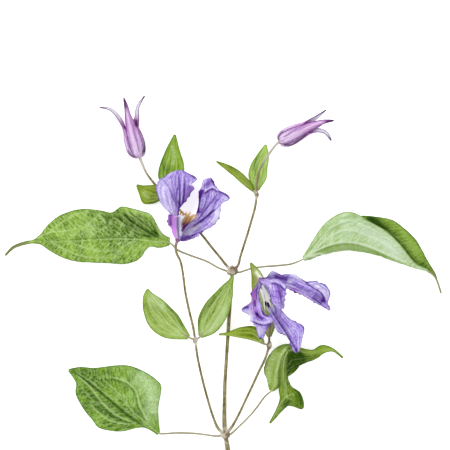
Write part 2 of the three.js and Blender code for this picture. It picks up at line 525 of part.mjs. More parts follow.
// Tepals
const TEPALS = {
  // the broad one at the back left, seen from inside
  flower_left_tepal_1: {
    cells: [14, 4],
    spine: [[-27.4, 22.8, 14.8], [-28.2, 30, 12.4], [-28.2, 38, 11.2], [-27.6, 46, 10.8],
      [-27, 53, 10.6], [-26.4, 58.6, 9.8], [-26, 62.6, 8.4]],
    up: [[0.2, 0.1, 1], [0.1, 0, 1], [0, 0, 1]],
    left: {
      width: [2.2, 2, 1.8, 2.1, 3.4, 6.6, 9.7, 11.4, 12.7, 12.9, 12.2, 9, 8.2, 5.8, 3.2],
      lift: [20, 16, 10, 8, 4, 0, 0],
      curl: [20, 10, 0, -10, -20, -20, 0],
      sweep: [0, 0, 0, 0, 0, 0, -1],
      ruffle: [1.6, 4, 0.2],
    },
    right: {
      width: [2.2, 2, 1.8, 1.7, 1.7, 3, 5, 6.2, 8.5, 10.6, 8.4, 11.2, 8.4, 4.6, 3],
      lift: [20, 26, 34, 30, 24, 10, 0],
      curl: [20, 10, 10, 0, -10, -10, 0],
      sweep: [0, 0, 0, 0, 0.5, 1, 0],
      ruffle: [1.8, 4, 0.7],
    },
  },
  // the large one at the back right, with a rolled margin
  flower_left_tepal_2: {
    cells: [14, 4],
    spine: [[-25.2, 23, 15.4], [-20, 27.4, 13.4], [-14, 33, 12], [-9.6, 39.5, 11.8], [-7.2, 46, 12.4],
      [-7, 52, 12.4], [-8.6, 58, 9]],
    up: [[-0.1, 0, 1], [0, 0, 1], [0, 0, 1]],
    left: {
      width: [2.2, 3.4, 4.2, 6.6, 8.3, 7, 3.4],
      lift: [20, 16, 10, 6, 4, 0, 0],
      curl: [20, 20, 16, 10, 6, 0, 0],
      roll: [0, 20, 70, 90, 80, 20, 0],
    },
    right: {
      width: [2.2, 3.4, 4.8, 5.8, 6.6, 8.2, 9, 8.3, 7.5, 7.4, 11.2, 5, 2.8, 2.4, 1.4],
      lift: [20, 10, 6, 4, 4, 0, 0],
      curl: [20, 0, -16, -20, -16, 0, 0],
      ruffle: [1.4, 4, 0.35],
      folds: [[0.1, 0.3, 0.8, 0.5, -1, 0.2]],
    },
  },
  // the one at the front left, coming towards the viewer
  flower_left_tepal_3: {
    cells: [10, 4],
    spine: [[-27, 22.2, 18.4], [-27.6, 27, 21], [-27.8, 31.4, 25.4], [-27.6, 34, 31.4],
      [-27.2, 35, 38], [-26.8, 34.2, 45]],
    up: [[0.2, 0.3, -0.9], [0, 0.4, -0.9], [0, 0.7, -0.7], [0, 1, -0.3], [0, 1, 0], [0, 1, 0.2]],
    left: { width: [2.2, 4.4, 5.6, 5.6, 4, 0.6], lift: 10, curl: [30, 30, 20, 10, 0, 0],
      ruffle: [0.8, 2, 0.4] },
    right: { width: [2.2, 3.8, 4.9, 4.6, 3.2, 0.6], lift: 10, curl: [30, 30, 24, 20, 0, 0],
      ruffle: [0.8, 2, 0] },
  },
  // the one at the front right, folded like a trough
  flower_left_tepal_4: {
    cells: [10, 4],
    spine: [[-25.4, 20.9, 18.6], [-22.8, 20.8, 22], [-20.4, 21.4, 27], [-18.8, 22.2, 33],
      [-17.8, 23, 39], [-17, 22.4, 44.6]],
    up: [[-0.3, 0.5, -0.8], [-0.3, 0.8, -0.5], [-0.3, 0.95, -0.2], [-0.1, 1, 0], [0, 1, 0.1], [0, 1, 0.2]],
    left: { width: [2.2, 4, 5, 5.2, 4, 0.6], lift: 16, curl: [40, 40, 30, 20, 0, 0], ruffle: [0.8, 2, 0] },
    right: { width: [2.2, 4.2, 5.4, 5.4, 4.2, 0.6], lift: 16, curl: [40, 40, 30, 20, 0, 0],
      ruffle: [0.8, 2, 0.5] },
  },
  // the arching one at the upper right
  flower_right_tepal_1: {
    cells: [14, 4],
    spine: [[23.6, -2, 19.6], [30, -1.2, 21.4], [37, -2.4, 22.6], [44, -5.5, 22.4], [50.5, -9, 21.4],
      [56.5, -13, 19.8], [61, -17, 17.8], [63.4, -20.6, 16.4]],
    up: [[0.1, -0.45, 0.9]],
    left: {
      width: [2.2, 2, 6.4, 2.8, 5, 6.2, 5.2, 4.8, 7.4, 8.5, 8.6, 6.8, 1.6, 1.1, 0.6],
      lift: [30, 20, 16, 14, 14, 14, 10, 0],
      curl: [20, 10, 0, -20, -34, -40, -30, 0],
      ruffle: [1.2, 3, 0.1],
      folds: [[0.45, 0.3, 0.95, 0.7, 1.2, 0.2]],
    },
    right: {
      width: [2.2, 3, 4, 4.8, 3.9, 3.8, 2.5, 0.6],
      lift: [30, 20, 16, 14, 12, 10, 10, 0],
      curl: [20, 10, 0, -10, -10, 0, 0, 0],
      ruffle: [0.8, 3, 0.4],
    },
  },
  // the one in front, arching over and hanging down
  flower_right_tepal_2: {
    cells: [10, 4],
    spine: [[23, -2.6, 20.4], [26.6, -2.2, 26.6], [30.8, -3.6, 31.4], [32.8, -8.4, 34],
      [33.8, -14, 34], [34.4, -19, 32]],
    up: [[0.2, -0.9, -0.1], [0, -0.9, -0.4], [0, -0.6, -0.8], [0, -0.3, -0.95], [0, 0, -1], [0, 0.2, -1]],
    left: { width: [2.2, 4.2, 5, 6.2, 5.8, 1.6], lift: 10, curl: [30, 30, 30, 30, 20, 0],
      ruffle: [0.8, 2, 0] },
    right: { width: [2.2, 4.4, 5.8, 4.4, 2.6, 1.4], lift: 10, curl: [30, 30, 30, 30, 20, 0],
      ruffle: [0.8, 2, 0.5] },
  },
  // the long one at the lower right
  flower_right_tepal_3: {
    cells: [14, 4],
    spine: [[23, -4.6, 18.6], [27, -11, 18], [30.6, -18.5, 18.2], [34.5, -26, 18], [39, -33, 17.4],
      [42.2, -39.6, 16.6], [44, -45.8, 15.4]],
    up: [[0, 0, 1]],
    left: {
      width: [2, 2.3, 2.6, 3, 3.2, 3.3, 3.8, 5.4, 8.3, 8.5, 5.3, 2.9, 0.9],
      lift: [30, 24, 20, 20, 16, 10, 0],
      curl: [20, 10, 0, -10, -20, -10, 0],
      ruffle: [1.2, 3, 0.2],
    },
    right: {
      width: [2, 2.3, 2.6, 3.2, 4, 5, 5.7, 5.9, 4, 2.2, 2.7, 2.5, 1],
      lift: [30, 24, 20, 20, 16, 10, 0],
      curl: [20, 10, 0, -10, -20, -10, 0],
      ruffle: [1.2, 3, 0.7],
    },
  },
  // the curled one at the left
  flower_right_tepal_4: {
    cells: [14, 4],
    spine: [[21.2, -4, 20], [18.9, -10, 21.4], [18.2, -16, 23], [18.8, -22, 23.6], [20.6, -27.6, 23.4],
      [22, -32.8, 22], [22.4, -37.4, 20.2]],
    up: [[0.5, -0.2, 0.85], [0.5, 0, 0.85], [0.4, 0, 0.9], [0.2, 0, 1], [0, 0, 1], [0, 0, 1], [0, 0, 1]],
    left: {
      width: [2.2, 2.2, 2.4, 3.2, 4.2, 4.6, 5, 5.6, 9.6, 6.4, 3.4, 2.4, 0.8],
      lift: [30, 20, 10, 10, 10, 0, 0],
      curl: [30, 20, 20, 10, -10, 0, 0],
      ruffle: [1.2, 3, 0],
    },
    right: {
      width: [2.2, 1.9, 3, 3.6, 2.8, 7.4, 4, 3.2, 2.6, 2.4, 2.2, 1.7, 0.8],
      lift: [30, 20, 6, 0, 0, 0, 0],
      curl: [20, 10, 0, -20, -40, -20, 0],
      ruffle: [1.2, 3, 0.4],
    },
  },
};

// Stamens: filaments from a small core, each swelling into its anther
function stamens({ base, axis, tips, seed }, grow = 0) {
  const random = randomFrom(seed);
  const forward = vector(axis).normalize();
  const root = vector(base).addScaledVector(forward, RECEPTACLE_RADIUS + SEAT_GAP);
  const core = egg(root.clone().addScaledVector(forward, 1.5).toArray(), axis, 1.7, 1.2, grow);
  const radii = [FILAMENT_RADIUS * 1.3, FILAMENT_RADIUS, FILAMENT_RADIUS, ANTHER_RADIUS, 0.25];
  const threads = [];
  for (const [from, to, count] of tips) {
    for (let k = 0; k < count; k += 1) {
      const reach = (k + 0.5) / count;
      const tip = vector(from).lerp(vector(to), reach);
      tip.add(new THREE.Vector3(random() - 0.5, random() - 0.5, random() - 0.5).multiplyScalar(2.4));
      const aside = tip.clone().sub(root).projectOnPlane(forward);
      const start = root.clone().addScaledVector(forward, 1).addScaledVector(aside, 0.09);
      const middle = start.clone().lerp(tip, 0.5).addScaledVector(forward, 1.5);
      threads.push(tube([start, middle, tip].map((p) => p.toArray()), radii, 4, 4, grow));
    }
  }
  return join([core, ...threads]);
}

const STAMENS = {
  flower_left_stamens: {
    base: FLOWER_LEFT,
    axis: FLOWER_LEFT_AXIS,
    seed: 11,
    // rows of tips, from one place to another, with how many
    tips: [[[-25.5, 38.5, 17], [-15, 36.5, 17], 5], [[-25, 37.5, 21], [-14.5, 35, 22], 6],
      [[-24, 35, 25], [-16, 33, 25], 4]],
  },
  flower_right_stamens: {
    base: FLOWER_RIGHT,
    axis: FLOWER_RIGHT_AXIS,
    seed: 23,
    tips: [[[25, -17.4, 22], [29.8, -15, 23], 4], [[26, -19, 25], [30, -17, 26], 4]],
  },
};

// Buds: a swollen body of four keeled tepals edge to edge, whose free tips curl back; open tells
// how far the inner face of a free tip is turned to look up
const BUDS = {
  bud_left: {
    axis: [BUD_LEFT, [-51.6, 74, 7.7], [-52.7, 78.4, 7.8], [-54, 83, 8], [-55, 87, 8.1], [-56, 90.6, 8.2]],
    radii: [3.2, 5.1, 5.7, 5.4, 4.7, 3.1],
    tips: [
      { turn: 100, open: 0.9, points: [[-61.9, 93, 9.6], [-66.9, 98.7, 10.8], [-73.4, 100.2, 11]] },
      { turn: 190, open: 0, points: [[-56.6, 95, 12.4], [-57.6, 100.6, 13.4], [-59, 105.6, 14]] },
      { turn: 280, open: 0.9, points: [[-51.2, 95, 8.8], [-50.6, 101, 9.4], [-46.7, 107.3, 9.8]] },
      { turn: 10, open: 0, points: [[-53, 91, 4], [-52.9, 92.6, 2.8], [-53.4, 94, 1.6]] },
    ],
  },
  bud_right: {
    axis: [BUD_RIGHT, [36.6, 81.6, 9.1], [40.6, 83.4, 9.3], [44.6, 85.3, 9.6], [48.4, 87.1, 9.8],
      [51.6, 88.6, 10]],
    radii: [3.2, 4.9, 5.3, 4.8, 4.1, 2.8],
    tips: [
      { turn: 90, open: 0.9, points: [[53.2, 93, 9.4], [57.2, 95.6, 9.8], [61.5, 98.7, 10]] },
      { turn: 180, open: 0, points: [[55.6, 90.2, 12.6], [60.6, 91.6, 13.4], [66, 92.2, 14]] },
      { turn: 270, open: 0.9, points: [[55.6, 86.3, 9.8], [61.2, 85.2, 10.6], [64.6, 80.4, 11]] },
      { turn: 0, open: 0, points: [[54.6, 89, 6], [57, 89.8, 4.8], [59.4, 90.4, 3.8]] },
    ],
  },
};

// The free end of the tepal of a bud that lies at a turn (degrees) round its axis.
function budTip({ axis, radii }, { turn, open, points }) {
  const last = axis.length - 1;
  const forward = vector(axis[last]).sub(vector(axis[0])).normalize();
  const level = new THREE.Vector3(0, 0, -1).projectOnPlane(forward).normalize();
  const outward = level.applyAxisAngle(forward, degToRad(turn));
  const root = [last - 3, last - 2, last - 1].map((k) =>
    vector(axis[k]).addScaledVector(outward, radii[k] - TEPAL_THICKNESS * 0.6).toArray());
  const width = [...radii.slice(last - 3, last).map((radius) => radius * 0.74), 1.9, 1.2, 0.4];
  const curl = [50, 50, 50, 30, 20, 20];
  const inward = outward.clone().negate().toArray();
  const opened = outward.clone().negate().setZ(-outward.z + open).toArray();
  const up = [inward, inward, inward, opened, opened, opened];
  return { spine: [...root, ...points], up, left: { width, curl }, right: { width, curl } };
}

function bud(shape, grow = 0) {
  const tips = shape.tips.map((tip) =>
    plate(bladeGrid(budTip(shape, tip), 8, 2, grow), TEPAL_THICKNESS + 2 * grow));
  return join([tube(shape.axis, shape.radii, 12, 7, grow), ...tips]);
}

// Pieces: how each is made, its colour, and the pieces that it is cut clear of
const PIECES = {};
const piece = (name, colour, make, clearOf) => {
  PIECES[name] = { colour, make, clearOf };
};

piece('stem', STEM_BROWN, stem, []);
for (const [name, shape] of Object.entries(LEAVES)) {
  piece(name, name.includes('bud') ? PALE_GREEN : GREEN, (grow) => leaf(shape, grow), ['stem']);
}
for (const flower of ['flower_left', 'flower_right']) {
  const names = Object.keys(TEPALS).filter((name) => name.startsWith(flower));
  names.forEach((name, k) => {
    piece(name, VIOLET, (grow) => tepal(TEPALS[name], grow), ['stem', ...names.slice(0, k)]);
  });
  const colour = flower === 'flower_left' ? STAMEN_GOLD : STAMEN_CREAM;
  const threads = `${flower}_stamens`;
  piece(threads, colour, (grow) => stamens(STAMENS[threads], grow), ['stem', ...names]);
}
for (const [name, shape] of Object.entries(BUDS)) {
  piece(name, LILAC, (grow) => bud(shape, grow), ['stem']);
}

// A solid's largest piece, cut clear of its neighbours and flat where it meets the surface.
function finished({ make, clearOf }) {
  let solid = make(0);
  for (const other of clearOf) solid = solid.subtract(PIECES[other].make(SEAT_GAP));
  solid = solid.trimByPlane([0, 0, 1], 0).simplify(SLIVER);
  return solid.decompose().sort((a, b) => b.volume() - a.volume())[0];
}

const sprig = new THREE.Group();
for (const [name, entry] of Object.entries(PIECES)) {
  const { vertProperties, triVerts } = finished(entry).getMesh();
  const geometry = new THREE.BufferGeometry();
  geometry.setAttribute('position', new THREE.Float32BufferAttribute(vertProperties, 3));
  geometry.setIndex([...triVerts]);
  geometry.computeVertexNormals();
  const material = new THREE.MeshStandardMaterial({ color: entry.colour, roughness: 0.6, metalness: 0 });
  const mesh = new THREE.Mesh(geometry, material);
  mesh.name = name;
  sprig.add(mesh);
}

export default sprig;
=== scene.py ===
"""The looks of a cut clematis sprig that lies on a pale surface, seen from above.

Every leaf, tepal, bud, stem and bunch of stamens is made again, finer, from the same shape tables as
the solid model. They are in millimetres, and go to metres only where a mesh is made.
"""

from types import SimpleNamespace

import bpy
import numpy as np
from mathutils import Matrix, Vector, kdtree


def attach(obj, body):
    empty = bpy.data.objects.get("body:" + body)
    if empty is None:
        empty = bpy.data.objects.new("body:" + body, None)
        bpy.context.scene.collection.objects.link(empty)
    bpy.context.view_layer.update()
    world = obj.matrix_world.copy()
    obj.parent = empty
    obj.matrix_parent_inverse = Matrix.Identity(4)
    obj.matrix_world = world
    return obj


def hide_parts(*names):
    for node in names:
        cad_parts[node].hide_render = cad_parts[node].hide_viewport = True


# Driving dimensions
LEAF_THICKNESS = 0.7
TEPAL_THICKNESS = 0.65
RIM_SHARE = 0.2  # how far a blade's margin reaches beyond its faces, to the blade's thickness
SMALLEST_HALF_WIDTH = 0.35
MIDRIB_DEPTH = 0.45
SEAT_GAP = 0.3
STEM_RADIUS = 1.05
BRANCH_RADIUS = 0.78
FLOWER_STALK_RADIUS = 0.75
LEAF_STALK_RADIUS = 0.62
RECEPTACLE_RADIUS = 1.9
FILAMENT_RADIUS = 0.32
ANTHER_RADIUS = 0.5
TABLE_CLEARANCE = 0.02
FURROW_DEPTH = 0.06
STEM_VOXEL = 0.3
MM = 0.001  # in metres

# The view straight down, and how wide its frame is on the middle level
CAMERA_OVER = (1.2, 30)
CAMERA_HEIGHT = 1000
MIDDLE_LEVEL = 6
FRAME_WIDTH = 270
SENSOR_WIDTH = 36
FLOOR_HALF_SIZE = 3000

# Light: each lamp's place and size in metres, and its watts
LAMPS = {"key": ((-0.7, 0.7, 1.3), 0.9, 16), "fill": ((0.9, -0.2, 1.1), 1.2, 4)}
SURROUNDING_LIGHT = 0.95
FLOOR_GLOW = 0.5
LIT = 1.42  # the light on a level surface, so that colour codes are the colours as seen
HAZE = 0.04  # the light a surface throws back without its colour

# How finely blades are divided: steps along each, and steps across each half
LARGE_LEAF_MESH = (200, 42)
SMALL_LEAF_MESH = (96, 22)
LOBE_MESH = (120, 26)
TEPAL_MESH = (120, 30)
BUD_TEPAL_MESH = (90, 20)

NODE_A = [1.4, -96.4, 2.9]
NODE_B = [5.6, 2.2, 12]
NODE_LEFT = [-16.5, -38.8, 11]
NODE_RIGHT = [27.7, -42, 9]
NODE_C = [-34.5, 47.6, 3.6]
NODE_D = [20.1, 48, 9.8]
FLOWER_LEFT = [-26.8, 21.4, 16.8]
FLOWER_LEFT_AXIS = [0.12, 0.96, 0.25]
FLOWER_RIGHT = [22.3, -2.8, 17.8]
FLOWER_RIGHT_AXIS = [0.3, -0.85, 0.4]
BUD_LEFT = [-50.3, 71.4, 7.6]
BUD_RIGHT = [34.2, 80.4, 9]

# Stem: each run is a smooth tube whose radius changes by the shares along it. It is greener or less
# so from its start to its end, may turn pale from some way along, and may end at a flower.
STEM_RUNS = [
  {
    "radius": STEM_RADIUS, "shares": [1.4, 1.25, 1, 1, 1], "green": [0.15, 0.5], "furrow": 0.11,
    "points": [[3.2, -108, 1.75], [2.2, -101, 2.3], NODE_A, [0.8, -88, 3.4], [0.9, -77, 4.2],
      [1.1, -66, 5.1], [1.8, -54, 6.2], [2.5, -43, 7.3], [3.2, -32, 8.4], [4, -20, 9.8],
      [4.9, -8, 11.1], NODE_B],
  },
  {
    "radius": BRANCH_RADIUS, "shares": [1.3, 1, 1, 1, 0.95], "green": [0.35, 0.35],
    "points": [NODE_A, [-3.2, -92, 3.6], [-6.4, -84, 4.7], [-8.8, -76, 5.8], [-11.2, -67, 7.1],
      [-13.5, -57.5, 8.5], [-15.4, -48, 9.9], NODE_LEFT],
  },
  {
    "radius": FLOWER_STALK_RADIUS, "shares": [1, 1, 1, 1.2], "green": [0.35, 0.35], "flower": True,
    "points": [NODE_LEFT, [-18, -30, 12], [-20.4, -20, 13], [-22.4, -10, 13.6], [-23.7, 0, 14],
      [-25.2, 8, 14.3], [-27.6, 13.2, 14.7], [-28, 17.6, 15.6], FLOWER_LEFT],
  },
  {
    "radius": BRANCH_RADIUS, "shares": [1.3, 1, 1, 1, 0.95], "green": [0.35, 0.35],
    "points": [NODE_A, [5.4, -91.2, 3.6], [9.4, -84, 4.3], [13.6, -75, 5.2], [17.6, -66.5, 6.2],
      [21.4, -58, 7.2], [25.2, -50, 8.2], NODE_RIGHT],
  },
  {
    "radius": FLOWER_STALK_RADIUS, "shares": [1, 1, 1, 1.2], "green": [0.35, 0.35], "flower": True,
    "points": [NODE_RIGHT, [27.6, -36, 9.6], [28.2, -30, 10.2], [28, -21, 11], [26.2, -12, 12],
      [24, -5.6, 13.6], [22.8, -3.2, 15.4], FLOWER_RIGHT],
  },
  {
    "radius": BRANCH_RADIUS, "shares": [1.3, 1, 1, 0.9, 0.9], "green": [0.3, 0.3],
    "points": [NODE_B, [1.6, 6.4, 12.2], [-2, 11, 11.3], [-7, 17, 9.8], [-13.2, 24.8, 7.6],
      [-21, 33.6, 5.4], [-28.6, 41.6, 4.2], NODE_C],
  },
  {
    "radius": FLOWER_STALK_RADIUS, "shares": [1, 1, 0.95, 1.3], "green": [0.3, 0.1], "pale_from": 0.35,
    "points": [NODE_C, [-38.2, 51.2, 3.8], [-42, 55.7, 4.3], [-45.6, 60.6, 5.2],
      [-48.2, 66, 6.4], BUD_LEFT],
  },
  {
    "radius": BRANCH_RADIUS, "shares": [1.3, 1, 1, 1, 1], "green": [0.3, 0.3],
    "points": [NODE_B, [9, 6, 12.3], [10.2, 10.6, 12], [12.4, 17.6, 11.6], [14.8, 25.2, 11.2],
      [17.1, 33, 10.7], [19.2, 40.8, 10.2], NODE_D],
  },
  {
    "radius": FLOWER_STALK_RADIUS, "shares": [1.1, 1, 1, 1.3], "green": [0.4, 0.2], "pale_from": 0.2,
    "points": [NODE_D, [20, 54, 10.6], [21.2, 61, 11], [24.2, 67.2, 10.6], [28, 73.2, 9.8],
      [31.6, 77.8, 9.2], BUD_RIGHT],
  },
]

# Swellings: centre, direction, half length and radius
STEM_SWELLINGS = [
  [NODE_A, [1, 0, 0], 3, 2.3],
  [NODE_B, [1, 0.1, 0], 3.6, 2.4],
  [[5.6, 4.2, 12.4], [0, 1, 0.1], 1.9, 1.6],  # the stopped tip between the two upper branches
  [NODE_LEFT, [0.1, 1, 0.2], 2.3, 1.5],
  [NODE_RIGHT, [0.1, 1, 0.2], 2.6, 1.6],
  [NODE_C, [-1, 1, 0], 2.2, 1.4],
  [NODE_D, [0, 1, 0.1], 2.3, 1.45],
  [FLOWER_LEFT, FLOWER_LEFT_AXIS, RECEPTACLE_RADIUS, RECEPTACLE_RADIUS * 0.9],
  [FLOWER_RIGHT, FLOWER_RIGHT_AXIS, RECEPTACLE_RADIUS, RECEPTACLE_RADIUS * 0.9],
]

